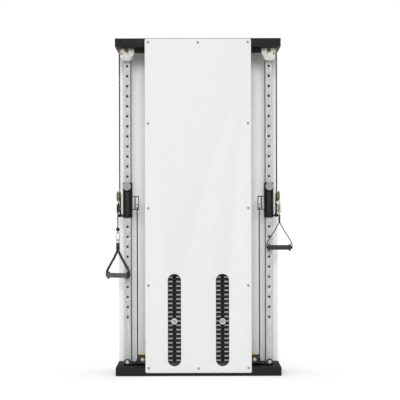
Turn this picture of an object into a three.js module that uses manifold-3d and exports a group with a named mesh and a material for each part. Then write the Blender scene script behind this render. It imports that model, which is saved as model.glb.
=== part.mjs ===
// A dual-stack functional trainer: two perforated columns with sliding cable carriages, two weight
// stacks behind a front panel, and one cable loop on each side. Millimetres, +Z up, front towards -Y.
import * as THREE from "three";
import { mergeVertices } from "three/addons/utils/BufferGeometryUtils.js";
import Module from "manifold-3d";

const wasm = await Module();
wasm.setup();

// ---------- driving dimensions ----------
const width = 1056;
const height = 2150;
const depth = 380;
const beam = { base: 54, top: 52, end: 50, side: 120 };
const sheet = 3;
const gap = 0.3;
const topUnderside = height - beam.top;

const panel = { width: 676, bottom: 20, top: 2147, corner: 10, returnDepth: 22 };
const slot = { x: 153, width: 84, low: 62, high: 650 };

const column = { x: 458, width: 45, front: -37, back: 63, wall: 3 };
const hole = { first: 363, pitch: 65, count: 26, radius: 8 };

const cableRadius = 3.5;
const pulleyHalf = 8;
const axleRadius = 6;
const planeA = -80; // the outer cable, the feed pulley and the stack
const planeB = -55; // the return run, the base pulley and the inner cable
const cableTop = 2128;
const topOuter = { x: column.x, radius: 47 };
const topFeed = { x: 236, radius: 38 };
const topReturn = { x: 148, radius: 38 };
const topTurn = { x: 284, radius: 38 };
const basePulley = { x: 358, z: 96, radius: 36 };
const stackPulley = { x: 154, z: 724, radius: 44 };

const stack = { x: 154, width: 220, depth: 100, plate: 28, count: 20, lifted: 11, bottom: 80 };
const rod = { radius: 10, offset: 85, top: 2018 };
const stem = { radius: 11, low: 84 };
const selected = stack.bottom + (stack.count - stack.lifted) * stack.plate;

const carriage = { width: 58, front: -65, back: 75, low: 1010, high: 1230, clearance: 0.8 };
const pinHeight = hole.first + 13 * hole.pitch;
const anchor = { x: 394, inner: 383.5, low: 1057, high: 1147, bar: 6, halfDepth: 15, middle: 408 };

const swivel = { x: topOuter.x + topOuter.radius, yaw: 10, upper: 1145, lower: 1066, radius: 28 };
const pivot = { radius: 8, bottom: 1026, length: 15 };
const ball = 12.5;
const grip = { radius: 15.5, bore: 10.5, half: 72, flange: 24 };
const webbing = { width: 25, thick: 3, spread: 79, legs: 158 };

const finishes = {
  frame: [0x2c2c2c, 0.5, 0.3],
  panel: [0xe9e9e8, 0.45, 0.1],
  back: [0xd3d3d3, 0.5, 0.2],
  zinc: [0xc2c4c2, 0.45, 0.6],
  black: [0x1c1c1d, 0.4, 0.2],
  gold: [0xa8964a, 0.35, 0.8],
  steel: [0xb9bab8, 0.3, 0.9],
  plate: [0x303132, 0.6, 0.3],
  knob: [0x909192, 0.45, 0.3],
  cable: [0x19191a, 0.5, 0],
  rubber: [0x3f4041, 0.8, 0],
  webbing: [0x151515, 0.9, 0],
};

// ---------- solids ----------
const solidOf = (geometry) => {
  geometry.deleteAttribute("normal");
  geometry.deleteAttribute("uv");
  const merged = mergeVertices(geometry, 1e-3);
  return new wasm.Manifold(
    new wasm.Mesh({
      numProp: 3,
      vertProperties: merged.attributes.position.array,
      triVerts: new Uint32Array(merged.index.array),
    }),
  );
};

const geometryOf = (solid) => {
  const mesh = solid.getMesh();
  const geometry = new THREE.BufferGeometry();
  geometry.setAttribute("position", new THREE.BufferAttribute(mesh.vertProperties, 3));
  geometry.setIndex(new THREE.BufferAttribute(mesh.triVerts, 1));
  geometry.computeVertexNormals();
  return geometry;
};

const join = (first, ...rest) => rest.reduce((sum, piece) => sum.add(piece), first);
const cut = (body, ...tools) => tools.reduce((left, tool) => left.subtract(tool), body);

const box = (x, y, z) => {
  const geometry = new THREE.BoxGeometry(x[1] - x[0], y[1] - y[0], z[1] - z[0]);
  geometry.translate((x[0] + x[1]) / 2, (y[0] + y[1]) / 2, (z[0] + z[1]) / 2);
  return solidOf(geometry);
};

// A round bar along X, Y or Z, from one coordinate to another, through the point given.
const bar = (axis, radius, from, to, at, sides = 16) => {
  const geometry = new THREE.CylinderGeometry(radius, radius, to - from, sides);
  if (axis === "z") geometry.rotateX(Math.PI / 2);
  if (axis === "x") geometry.rotateZ(-Math.PI / 2);
  const middle = (from + to) / 2;
  const place = { x: [middle, at[0], at[1]], y: [at[0], middle, at[1]], z: [at[0], at[1], middle] };
  geometry.translate(...place[axis]);
  return solidOf(geometry);
};

// A flat outline of X and Z points, as thick as the Y range.
const plate = (outline, y, holes = []) => {
  const shape = outline instanceof THREE.Shape ? outline : new THREE.Shape(outline.map(toVector));
  shape.holes.push(...holes);
  const geometry = new THREE.ExtrudeGeometry(shape, {
    depth: y[1] - y[0],
    bevelEnabled: false,
    curveSegments: 6,
  });
  geometry.rotateX(Math.PI / 2);
  geometry.translate(0, y[1], 0);
  return solidOf(geometry);
};

const toVector = ([x, z]) => new THREE.Vector2(x, z);

const roundedShape = (x0, x1, z0, z1, radius) => {
  const shape = new THREE.Shape();
  shape.absarc(x1 - radius, z0 + radius, radius, -Math.PI / 2, 0);
  shape.absarc(x1 - radius, z1 - radius, radius, 0, Math.PI / 2);
  shape.absarc(x0 + radius, z1 - radius, radius, Math.PI / 2, Math.PI);
  shape.absarc(x0 + radius, z0 + radius, radius, Math.PI, 1.5 * Math.PI);
  return shape;
};

const stadium = (x, half, low, high) => {
  const path = new THREE.Path();
  path.absarc(x, low + half, half, Math.PI, 2 * Math.PI);
  path.absarc(x, high - half, half, 0, Math.PI);
  return path;
};

// A grooved wheel about Y, centred on the origin; radius is where the cable's centre runs.
const wheel = (radius, bore) => {
  const rim = radius + 5;
  const floor = radius - cableRadius - 0.9;
  const profile = [
    [bore, -pulleyHalf],
    [rim, -pulleyHalf],
    [floor, -4.2],
    [floor, 4.2],
    [rim, pulleyHalf],
    [bore, pulleyHalf],
    [bore, -pulleyHalf],
  ];
  return new THREE.LatheGeometry(profile.map(toVector), 16);
};

// A path whose sections stand exactly at the points it is given.
class Route extends THREE.Curve {
  constructor(points) {
    super();
    this.points = points;
  }
  getPoint(t) {
    const place = t * (this.points.length - 1);
    const index = Math.min(Math.floor(place), this.points.length - 2);
    return this.points[index].clone().lerp(this.points[index + 1], place - index);
  }
  getPointAt(u) {
    return this.getPoint(u);
  }
  getTangentAt(u) {
    const index = Math.round(u * (this.points.length - 1));
    const before = this.points[Math.max(index - 1, 0)];
    const after = this.points[Math.min(index + 1, this.points.length - 1)];
    const here = this.points[index];
    const arriving = here.clone().sub(before).normalize();
    const leaving = after.clone().sub(here).normalize();
    return arriving.add(leaving).normalize();
  }
}

const tube = (points, radius, sides = 8) => {
  const section = new THREE.Shape();
  for (let i = 0; i < sides; i += 1) {
    const angle = (2 * Math.PI * i) / sides;
    const corner = [radius * Math.cos(angle), radius * Math.sin(angle)];
    if (i) section.lineTo(...corner);
    else section.moveTo(...corner);
  }
  return new THREE.ExtrudeGeometry(section, {
    steps: points.length - 1,
    extrudePath: new Route(points),
  });
};

// Points round a wheel in the XZ plane at depth y, from one angle to another in degrees.
const around = (centre, y, from, to, stepAngle = 22.5) => {
  const steps = Math.max(2, Math.round(Math.abs(to - from) / stepAngle));
  return Array.from({ length: steps + 1 }, (_, i) => {
    const angle = THREE.MathUtils.degToRad(from + ((to - from) * i) / steps);
    return new THREE.Vector3(
      centre.x + centre.radius * Math.cos(angle),
      y,
      centre.z + centre.radius * Math.sin(angle),
    );
  });
};

const materials = Object.fromEntries(
  Object.entries(finishes).map(([name, [color, roughness, metalness]]) => [
    name,
    new THREE.MeshStandardMaterial({ color, roughness, metalness }),
  ]),
);

const mesh = (name, shape, finish) => {
  const geometry = shape instanceof THREE.BufferGeometry ? shape : geometryOf(shape);
  const made = new THREE.Mesh(geometry, materials[finish]);
  made.name = name;
  return made;
};

// ---------- the frame ----------
const outerBlock = (low, high) =>
  box([-width / 2, width / 2], [-depth / 2, depth / 2], [low, high]);
const inner = { x: width / 2 - beam.side, y: depth / 2 - beam.end };

const bothSides = (makeOne) => [1, -1].map(makeOne);

const sideBox = (side, x, y, z) => {
  const [a, b] = [x[0] * side, x[1] * side];
  return box([Math.min(a, b), Math.max(a, b)], y, z);
};

const base = { rib: 20, deck: 6 };

// Hollow from below, under a deck.
const makeBaseFrame = () =>
  cut(
    outerBlock(0, beam.base),
    ...bothSides((side) =>
      sideBox(side, [base.rib, inner.x], [-inner.y, inner.y], [-1, beam.base - base.deck]),
    ),
  );

const hanger = { centre: 30, low: 2072, high: 2110, front: -98, middle: -70, rear: -42, thick: 5 };
const rodSupport = { half: 10, low: rod.top, high: rod.top + 12 };

const makeTopFrame = () => {
  const openings = bothSides((side) =>
    sideBox(side, [hanger.centre, inner.x], [-inner.y, inner.y], [topUnderside - 1, height - sheet]),
  );
  const pulleySlots = bothSides((side) =>
    sideBox(side, [inner.x - 1, 514], [planeA - 13, planeA + 13], [topUnderside - 1, 2141]),
  );
  const rails = bothSides((side) =>
    [hanger.front, hanger.middle, hanger.rear].map((y) =>
      sideBox(side, [hanger.centre - 1, inner.x + 1], [y, y + hanger.thick], [hanger.low, hanger.high]),
    ),
  ).flat();
  const axle = (side, centre, y) =>
    bar("y", axleRadius, y[0], y[1], [side * centre.x, cableTop - centre.radius]);
  const axles = bothSides((side) => [
    axle(side, topFeed, [hanger.front, hanger.middle + hanger.thick]),
    axle(side, topReturn, [hanger.middle, hanger.rear + hanger.thick]),
    axle(side, topTurn, [hanger.middle, hanger.rear + hanger.thick]),
  ]).flat();
  const rodSupports = bothSides((side) =>
    [-1, 1].map((end) => {
      const x = stack.x + end * rod.offset;
      const span = [x - rodSupport.half, x + rodSupport.half];
      const reach = [hanger.front, hanger.rear + hanger.thick];
      return join(
        sideBox(side, span, reach, [rodSupport.low, rodSupport.high]),
        sideBox(side, span, [reach[0], reach[0] + hanger.thick], [rodSupport.low, hanger.low + 1]),
        sideBox(side, span, [hanger.rear, reach[1]], [rodSupport.low, hanger.low + 1]),
      );
    }),
  ).flat();
  const shell = cut(outerBlock(topUnderside, height), ...openings, ...pulleySlots);
  return join(shell, ...rails, ...axles, ...rodSupports);
};

const panelHalf = panel.width / 2;
const panelFace = -depth / 2 - gap;
const makeFrontPanel = () => {
  const face = plate(
    roundedShape(-panelHalf, panelHalf, panel.bottom, panel.top, panel.corner),
    [panelFace - sheet, panelFace],
    bothSides((side) => stadium(side * slot.x, slot.width / 2, slot.low, slot.high)),
  );
  const returns = bothSides((side) =>
    sideBox(
      side,
      [panelHalf - sheet, panelHalf],
      [panelFace - 1, panelFace + panel.returnDepth],
      [beam.base + 8, topUnderside - 8],
    ),
  );
  return join(face, ...returns);
};

const makeBackPanel = () =>
  box(
    [-width / 2 + 2, width / 2 - 2],
    [depth / 2 - 2 * sheet, depth / 2 - sheet],
    [beam.base + gap, topUnderside - gap],
  );

// ---------- one side, built to the right of the middle ----------
const columnSpan = [column.x - column.width / 2, column.x + column.width / 2];

const makeColumn = () => {
  const tall = [beam.base + gap, topUnderside - gap];
  const hollow = box(
    [columnSpan[0] + column.wall, columnSpan[1] - column.wall],
    [column.front + column.wall, column.back - column.wall],
    [tall[0] - 1, tall[1] + 1],
  );
  const holes = Array.from({ length: hole.count }, (_, i) =>
    bar("y", hole.radius, column.front - 1, column.front + column.wall + 1, [
      column.x,
      hole.first + i * hole.pitch,
    ], 8),
  );
  return cut(box(columnSpan, [column.front, column.back], tall), hollow, ...holes);
};

const topOuterCentre = { x: topOuter.x, z: cableTop - topOuter.radius, radius: topOuter.radius };
const cheek = { half: 48, top: 2095, shoulder: 2064, foot: 2018, footHalf: 24, thick: 4, outer: 39 };

const makeTopBracket = () => {
  const outline = [
    [column.x - cheek.half, cheek.top],
    [column.x - cheek.half, cheek.shoulder],
    [column.x - cheek.footHalf, cheek.foot],
    [column.x + cheek.footHalf, cheek.foot],
    [column.x + cheek.outer, cheek.foot + 16],
    [column.x + cheek.outer, cheek.top],
  ];
  const front = [planeA - pulleyHalf - 8, planeA - pulleyHalf - 8 + cheek.thick];
  const rear = [planeA + pulleyHalf + 4, planeA + pulleyHalf + 4 + cheek.thick];
  return join(
    plate(outline, front),
    plate(outline, rear),
    bar("y", axleRadius, front[0], rear[1], [topOuterCentre.x, topOuterCentre.z]),
    box([column.x - 10, column.x + 10], [front[0], rear[1]], [cheek.foot, cheek.foot + 8]),
    box([column.x - 18, column.x + 18], [rear[0], column.front - gap], [cheek.foot + 4, 2072]),
  );
};

const baseFoot = { low: beam.base + gap, high: 66, from: 262, to: 482 };
const makeBaseBracket = () => {
  const lobe = (x, z, radius, y) => bar("y", radius, y[0], y[1], [x, z], 20);
  const front = [planeB - pulleyHalf - 6, planeB - pulleyHalf - 2];
  const rear = [planeB + pulleyHalf + 2, planeB + pulleyHalf + 6];
  const wing = (y) =>
    plate(
      [
        [basePulley.x - 52, baseFoot.low],
        [basePulley.x + 52, baseFoot.low],
        [basePulley.x + 34, basePulley.z + 27],
        [basePulley.x - 34, basePulley.z + 27],
      ],
      y,
    );
  const across = [front[0], rear[1]];
  const low = [baseFoot.low, baseFoot.high];
  const body = join(
    box([baseFoot.from, baseFoot.to], front, low),
    box([baseFoot.from, 430], rear, low),
    box([baseFoot.from, baseFoot.from + 6], across, low),
    box([412, 430], across, low),
    wing(front),
    wing(rear),
    lobe(column.x, 76, 21, front),
    bar("y", axleRadius, front[0], rear[1], [basePulley.x, basePulley.z]),
  );
  return cut(body, box([0, width], [-depth, depth], [0, baseFoot.low]));
};

const plateBlock = (low, high) => {
  const half = { x: stack.width / 2, y: stack.depth / 2 };
  const block = box(
    [stack.x - half.x, stack.x + half.x],
    [planeA - half.y, planeA + half.y],
    [low, high],
  );
  const drill = (x, radius) => bar("z", radius, low - 1, high + 1, [x, planeA], 12);
  const seams = [];
  for (let z = low + stack.plate; z < high - 1; z += stack.plate) {
    const ring = cut(
      box([0, 2 * stack.x], [planeA - stack.depth, planeA + stack.depth], [z - 1, z + 1]),
      box(
        [stack.x - half.x + 4, stack.x + half.x - 4],
        [planeA - half.y + 4, planeA + half.y - 4],
        [z - 2, z + 2],
      ),
    );
    seams.push(ring);
  }
  return cut(
    block,
    drill(stack.x, stem.radius + 1.5),
    drill(stack.x - rod.offset, rod.radius + 1.2),
    drill(stack.x + rod.offset, rod.radius + 1.2),
    ...seams,
  );
};

const pinRow = selected + stack.plate / 2;
const selectorPin = { radius: 5, tip: planeA - 4, knobFront: -182, knobRadius: 20, knobBack: -158 };
const pinBore = () => bar("y", selectorPin.radius + 1, -200, planeA, [stack.x, pinRow], 12);
const stackTop = stack.bottom + stack.count * stack.plate;

const makeLiftedPlates = () => cut(plateBlock(selected + gap, stackTop), pinBore());

const makeSelectorRod = () => {
  const head = { half: 45, depth: 26, low: stackTop + gap, high: stackTop + 26 };
  const cheekPlate = (y) =>
    plate(
      [
        [stack.x - 20, head.high - 1],
        [stack.x + 20, head.high - 1],
        [stack.x + 14, stackPulley.z + 16],
        [stack.x - 14, stackPulley.z + 16],
      ],
      y,
    );
  const front = [planeA - 14, planeA - 10];
  const rear = [planeA + 10, planeA + 14];
  const body = join(
    bar("z", stem.radius, stem.low, head.high - 1, [stack.x, planeA], 12),
    box(
      [stack.x - head.half, stack.x + head.half],
      [planeA - head.depth, planeA + head.depth],
      [head.low, head.high],
    ),
    cheekPlate(front),
    cheekPlate(rear),
    bar("y", axleRadius, front[0], rear[1], [stackPulley.x, stackPulley.z]),
  );
  return cut(body, pinBore());
};

const makeSelectorPin = () =>
  join(
    bar("y", selectorPin.radius, selectorPin.knobBack - 1, selectorPin.tip, [stack.x, pinRow], 10),
    bar("y", selectorPin.knobRadius, selectorPin.knobFront, selectorPin.knobBack, [stack.x, pinRow]),
  );

// ---------- the carriage and what hangs from it ----------
const carriageSpan = [column.x - carriage.width / 2, column.x + carriage.width / 2];

const makeCarriage = () => {
  const nose = 24;
  const shape = new THREE.Shape();
  shape.moveTo(carriageSpan[1], carriage.back);
  shape.lineTo(carriageSpan[0], carriage.back);
  shape.absarc(carriageSpan[0] + nose, carriage.front + nose, nose, Math.PI, 1.5 * Math.PI);
  shape.absarc(carriageSpan[1] - nose, carriage.front + nose, nose, 1.5 * Math.PI, 2 * Math.PI);
  const geometry = new THREE.ExtrudeGeometry(shape, {
    depth: carriage.high - carriage.low,
    bevelEnabled: false,
    curveSegments: 5,
  });
  geometry.translate(0, 0, carriage.low);
  const [low, high] = [pivot.bottom - pivot.length + 2, pivot.bottom - 1];
  const lug = join(
    bar("z", 14, low, high, [swivel.x, planeA]),
    box([carriageSpan[1] - 1, swivel.x + 8], [planeA, -25], [low, high]),
  );
  const clear = carriage.clearance;
  return cut(
    join(solidOf(geometry), lug),
    bar("z", pivot.radius + 0.6, low - 1, high + 1, [swivel.x, planeA]),
    box(
      [columnSpan[0] - clear, columnSpan[1] + clear],
      [column.front - clear, column.back + clear],
      [carriage.low - 1, carriage.high + 1],
    ),
    bar("y", 6.6, carriage.front - 1, column.front, [column.x, pinHeight], 12),
  );
};

const makeAnchor = () => {
  const y = [planeB - anchor.halfDepth, planeB + anchor.halfDepth];
  const outer = carriageSpan[0] - gap;
  return join(
    box([anchor.inner, outer], y, [anchor.low, anchor.low + anchor.bar]),
    box([anchor.inner, outer], y, [anchor.high - anchor.bar, anchor.high]),
    box([anchor.inner, anchor.inner + 4], y, [anchor.low, anchor.high]),
    box([anchor.middle - 2, anchor.middle + 2], y, [anchor.low, anchor.high]),
    bar("z", 5.5, anchor.low + 1, anchor.high - 1, [anchor.x, planeB], 10),
  );
};

const pullPin = { radius: 5.8, tip: column.front - 1.2, knobBack: -88, knobFront: -110, knob: 26.5 };
const makePullPin = () =>
  join(
    bar("y", pullPin.radius, pullPin.knobBack - 1, pullPin.tip, [column.x, pinHeight], 10),
    bar("y", pullPin.knob, pullPin.knobFront, pullPin.knobBack, [column.x, pinHeight], 20),
  );

// The fork is built with its pulleys' plane along -Y, its swivel axis on the Z axis.
const cheekSide = { near: -13, far: -9 };
const makeFork = () => {
  const { bottom } = pivot;
  const cheekPlate = (y, z) => box([cheekSide.near, cheekSide.far], y, z);
  const lobe = (z) => bar("x", 15, cheekSide.near, cheekSide.far, [-swivel.radius, z], 16);
  const axle = (z) => bar("x", 5, cheekSide.near, pulleyHalf + 1, [-swivel.radius, z], 10);
  return join(
    cheekPlate([-38, -16], [bottom, swivel.upper]),
    cheekPlate([-38, 9], [bottom, bottom + 5]),
    lobe(swivel.upper),
    lobe(swivel.lower),
    box([cheekSide.near, 9], [-9, 9], [bottom, bottom + 5]),
    axle(swivel.upper),
    axle(swivel.lower),
    bar("z", pivot.radius, bottom - pivot.length, bottom + 1, [0, 0]),
  );
};

const swivelWheel = () => {
  const geometry = wheel(swivel.radius, 5.6);
  geometry.rotateZ(-Math.PI / 2);
  return geometry;
};

const degrees = THREE.MathUtils.degToRad;

// The cable through the fork: down the swivel axis, round the back of the upper pulley and out
// between the two, then either to a stop held at the nip or over the lower pulley and down.
const cableStart = 1195;
const bend = (z, from, to) => {
  const steps = 5;
  return Array.from({ length: steps + 1 }, (_, i) => {
    const angle = degrees(from + ((to - from) * i) / steps);
    return new THREE.Vector3(
      0,
      -swivel.radius - swivel.radius * Math.cos(angle),
      z + swivel.radius * Math.sin(angle),
    );
  });
};

const makeHandleCable = (stop) => {
  const start = new THREE.Vector3(0, 0, cableStart - gap);
  const points = [start, ...bend(swivel.upper, 180, 180 + stop.wrap)];
  if (stop.overLower) points.push(...bend(swivel.lower, stop.wrap, 0));
  const last = points[points.length - 1];
  const centre = new THREE.Vector3(0, -stop.forward, stop.z);
  const away = last.clone().sub(centre).normalize();
  points.push(centre.clone().addScaledVector(away, ball + gap));
  return tube(points, cableRadius);
};

// A closed loop of wire: a stadium in the plane of its own X and Z, turned flat to Y or to X.
const wireLoop = (halfWidth, straight, wire, facing) => {
  const points = [];
  const steps = 6;
  for (const [z, from] of [[straight / 2, 0], [-straight / 2, 180]])
    for (let i = 0; i <= steps; i += 1) {
      const angle = degrees(from + (180 * i) / steps);
      points.push([halfWidth * Math.cos(angle), z + halfWidth * Math.sin(angle)]);
    }
  const offset = (grow) =>
    points.map(([x, z]) => {
      const middle = Math.sign(z) * Math.min(Math.abs(z), straight / 2);
      const scale = (halfWidth + grow) / halfWidth;
      return [x * scale, middle + (z - middle) * scale];
    });
  const band = plate(offset(wire), [-wire, wire], [new THREE.Path(offset(-wire).map(toVector))]);
  return facing === "x" ? band.rotate([0, 0, 90]) : band;
};

const link = { eye: 9, wire: 2.5, hook: 3, clear: 8, hookHalf: 10, hookStraight: 34, ring: 15 };

const makeStop = (eye) =>
  join(
    solidOf(new THREE.SphereGeometry(ball, 12, 8)),
    wireLoop(link.eye, 0.1, link.wire, "x").translate([0, -eye.forward, -eye.down]),
  );

const makeCarabiner = () => wireLoop(link.hookHalf, link.hookStraight, link.hook, "y");

// Heights below the stop's centre, down the hanging handle.
const hangs = (eye) => {
  const hookTop = eye.down + link.eye - link.clear;
  const hookBottom = hookTop + 2 * link.hookHalf + link.hookStraight;
  return { hookTop, hookBottom, ringTop: hookBottom - link.clear };
};

const makeStrap = (levels, drop) => {
  const neck = drop - webbing.legs;
  const ringHeight = 2 * link.ring * 0.8;
  const loop = levels.ringTop + ringHeight;
  const ring = wireLoop(link.ring, 0.1, link.wire, "x")
    .scale([1, 1, 0.8])
    .translate([0, 0, -(levels.ringTop + ringHeight / 2)]);
  const depthRange = [-webbing.width / 2, webbing.width / 2];
  const t = webbing.thick;
  const side = (s) =>
    plate(
      [
        [0, -(loop - 4)],
        [s * 5, -loop],
        [s * t, -(loop + 8)],
        [s * t, -neck],
        [s * (webbing.spread + t), -(drop - 34)],
        [s * (webbing.spread + t), -(drop + 9)],
        [s * webbing.spread, -(drop + 9)],
        [s * webbing.spread, -(drop - 34)],
        [0, -(neck + 4)],
      ],
      depthRange,
    );
  return join(
    side(1),
    side(-1),
    ring,
    bar("x", grip.bore - 1, -webbing.spread - 1, webbing.spread + 1, [0, -drop], 12),
  );
};

const makeGrip = () => {
  const { radius, bore, half, flange } = grip;
  const profile = [
    [bore, -half],
    [flange, -half],
    [flange, -half + 5],
    [radius, -half + 13],
    [radius, half - 13],
    [flange, half - 5],
    [flange, half],
    [bore, half],
    [bore, -half],
  ];
  const geometry = new THREE.LatheGeometry(profile.map(toVector), 14);
  geometry.rotateZ(-Math.PI / 2);
  return geometry;
};

// The whole cable in the frame: from the carriage's anchor round the base pulley, up and over,
// round the stack's pulley, over again and down to the swivel.
const makeMainCable = () => {
  const topCentre = (pulley) => ({ ...pulley, z: cableTop - pulley.radius });
  return tube(
    [
      new THREE.Vector3(anchor.x, planeB, anchor.low - gap),
      ...around(basePulley, planeB, 0, -180),
      ...around(topCentre(topTurn), planeB, 0, 90),
      ...around(topCentre(topReturn), planeB, 90, 180),
      ...around(stackPulley, planeA, 180, 360),
      ...around(topCentre(topFeed), planeA, 180, 90),
      ...around(topCentre(topOuter), planeA, 90, 0),
      new THREE.Vector3(swivel.x, planeA, cableStart),
    ],
    cableRadius,
  );
};

const wheelMesh = (name, centre, y, z, finish = "gold") => {
  const made = mesh(name, wheel(centre.radius, axleRadius + 0.7), finish);
  made.position.set(centre.x, y, z);
  return made;
};

const makeHandle = (side) => {
  const { stop, eye, yaw, drop } = side;
  const levels = hangs(eye);
  const group = new THREE.Group();
  group.position.set(0, -stop.forward, stop.z);
  const hook = mesh(`carabiner_${side.name}`, makeCarabiner(), "steel");
  hook.position.set(0, -eye.forward, -(levels.hookTop + levels.hookBottom) / 2);
  const hanging = new THREE.Group();
  hanging.position.set(0, -eye.forward, 0);
  hanging.rotation.z = degrees(yaw);
  const handle = mesh(`handle_grip_${side.name}`, makeGrip(), "rubber");
  handle.position.set(0, 0, -drop);
  hanging.add(mesh(`handle_strap_${side.name}`, makeStrap(levels, drop), "webbing"), handle);
  group.add(mesh(`cable_stop_${side.name}`, makeStop(eye), "rubber"), hook, hanging);
  return group;
};

const makeSwivel = (side) => {
  const group = new THREE.Group();
  group.position.set(swivel.x, planeA, 0);
  group.rotation.z = degrees(swivel.yaw);
  const upper = mesh(`swivel_pulley_upper_${side.name}`, swivelWheel(), "gold");
  const lower = mesh(`swivel_pulley_lower_${side.name}`, swivelWheel(), "gold");
  upper.position.set(0, -swivel.radius, swivel.upper);
  lower.position.set(0, -swivel.radius, swivel.lower);
  const cable = mesh(`handle_cable_${side.name}`, makeHandleCable(side.stop), "cable");
  group.add(mesh(`swivel_fork_${side.name}`, makeFork(), "black"), upper, lower, cable);
  group.add(makeHandle(side));
  return group;
};

const makeSide = (side) => {
  const group = new THREE.Group();
  group.scale.x = side.mirror;
  const n = (name) => `${name}_${side.name}`;
  const rodAt = (x) => bar("z", rod.radius, beam.base + gap, rod.top - gap, [x, planeA], 12);
  const bumperTop = stack.bottom - gap;
  const bumper = cut(
    box(
      [stack.x - 100, stack.x + 100],
      [planeA - 20, planeA + 20],
      [beam.base + gap, bumperTop],
    ),
    bar("z", rod.radius + gap, 0, 100, [stack.x - rod.offset, planeA], 12),
    bar("z", rod.radius + gap, 0, 100, [stack.x + rod.offset, planeA], 12),
  );
  group.add(
    mesh(n("column"), makeColumn(), "zinc"),
    mesh(n("top_pulley_bracket"), makeTopBracket(), "zinc"),
    mesh(n("base_pulley_bracket"), makeBaseBracket(), "black"),
    mesh(n("guide_rod_inner"), rodAt(stack.x - rod.offset), "steel"),
    mesh(n("guide_rod_outer"), rodAt(stack.x + rod.offset), "steel"),
    mesh(n("stack_bumper"), bumper, "rubber"),
    mesh(n("lower_plates"), plateBlock(stack.bottom, selected), "plate"),
    mesh(n("lifted_plates"), makeLiftedPlates(), "plate"),
    mesh(n("selector_rod"), makeSelectorRod(), "steel"),
    mesh(n("selector_pin"), makeSelectorPin(), "steel"),
    wheelMesh(n("stack_pulley"), stackPulley, planeA, stackPulley.z),
    wheelMesh(n("top_outer_pulley"), topOuter, planeA, cableTop - topOuter.radius),
    wheelMesh(n("top_feed_pulley"), topFeed, planeA, cableTop - topFeed.radius),
    wheelMesh(n("top_return_pulley"), topReturn, planeB, cableTop - topReturn.radius),
    wheelMesh(n("top_turn_pulley"), topTurn, planeB, cableTop - topTurn.radius),
    wheelMesh(n("base_pulley"), basePulley, planeB, basePulley.z),
    mesh(n("carriage"), makeCarriage(), "black"),
    mesh(n("cable_anchor"), makeAnchor(), "black"),
    mesh(n("pull_pin"), makePullPin(), "knob"),
    mesh(n("main_cable"), makeMainCable(), "cable"),
    makeSwivel(side),
  );
  return group;
};

const sides = [
  {
    name: "left",
    mirror: -1,
    stop: { wrap: 45.1, overLower: true, forward: 2 * swivel.radius, z: 933 },
    eye: { forward: 0, down: 18 },
    drop: 294,
    yaw: 16,
  },
  {
    name: "right",
    mirror: 1,
    stop: { wrap: 65, overLower: false, forward: 58, z: 1101 },
    eye: { forward: 18, down: 6 },
    drop: 285,
    yaw: -swivel.yaw,
  },
];

const trainer = new THREE.Group();
trainer.add(
  mesh("base_frame", makeBaseFrame(), "frame"),
  mesh("top_frame", makeTopFrame(), "frame"),
  mesh("front_panel", makeFrontPanel(), "panel"),
  mesh("back_panel", makeBackPanel(), "back"),
  ...sides.map(makeSide),
);

export default trainer;
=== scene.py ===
import math

import bmesh
import bpy
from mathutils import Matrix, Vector


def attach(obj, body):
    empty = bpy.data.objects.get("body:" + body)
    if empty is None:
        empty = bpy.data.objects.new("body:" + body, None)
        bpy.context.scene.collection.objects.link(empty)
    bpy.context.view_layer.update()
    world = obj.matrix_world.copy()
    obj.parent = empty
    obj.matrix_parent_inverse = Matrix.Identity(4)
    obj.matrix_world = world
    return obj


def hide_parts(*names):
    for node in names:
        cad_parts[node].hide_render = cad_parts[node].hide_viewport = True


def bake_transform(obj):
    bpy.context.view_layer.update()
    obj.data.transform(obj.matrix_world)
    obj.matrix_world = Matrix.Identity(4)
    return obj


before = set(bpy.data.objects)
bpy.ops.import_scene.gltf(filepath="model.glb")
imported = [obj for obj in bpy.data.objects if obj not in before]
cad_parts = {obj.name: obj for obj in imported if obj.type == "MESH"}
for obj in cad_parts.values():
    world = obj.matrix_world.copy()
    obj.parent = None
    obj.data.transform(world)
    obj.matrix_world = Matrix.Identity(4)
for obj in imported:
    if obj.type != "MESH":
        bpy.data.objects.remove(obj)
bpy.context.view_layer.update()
bpy.ops.object.select_all(action="DESELECT")
print("frame loaded:", len(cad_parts), "nodes")


# picking and editing

def pick(piece):
    bpy.ops.object.select_all(action="DESELECT")
    piece.select_set(True)
    bpy.context.view_layer.objects.active = piece


def openEdit(piece, kind="FACE"):
    pick(piece)
    bpy.ops.object.mode_set(mode="EDIT")
    bpy.ops.mesh.select_mode(type=kind)
    bpy.ops.mesh.select_all(action="DESELECT")


def closeEdit():
    bpy.ops.object.mode_set(mode="OBJECT")


def takeAll():
    bpy.ops.mesh.select_all(action="SELECT")


def closeOutward():
    takeAll()
    bpy.ops.mesh.normals_make_consistent(inside=False)
    closeEdit()


def settle():
    bpy.ops.object.transform_apply(location=True, rotation=True, scale=True)


def takeFaces(piece, test):
    shape = bmesh.from_edit_mesh(piece.data)
    for face in shape.faces:
        face.select_set(bool(test(face.calc_center_median(), face.normal)))
    bmesh.update_edit_mesh(piece.data)


def takeEdges(piece, test):
    shape = bmesh.from_edit_mesh(piece.data)
    for edge in shape.edges:
        a, b = edge.verts[0].co, edge.verts[1].co
        edge.select_set(bool(test((a + b) / 2, (b - a).normalized())))
    bmesh.update_edit_mesh(piece.data)


def takePoints(piece, test):
    shape = bmesh.from_edit_mesh(piece.data)
    for point in shape.verts:
        point.select_set(bool(test(point.co)))
    bmesh.update_edit_mesh(piece.data)


def applyModifier(piece, kind, **settings):
    pick(piece)
    modifier = piece.modifiers.new(kind.lower(), kind)
    for key, value in settings.items():
        setattr(modifier, key, value)
    bpy.ops.object.modifier_apply(modifier=modifier.name)


def smoothOver(piece, angle=35):
    pick(piece)
    bpy.ops.object.shade_smooth_by_angle(angle=math.radians(angle))


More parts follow.
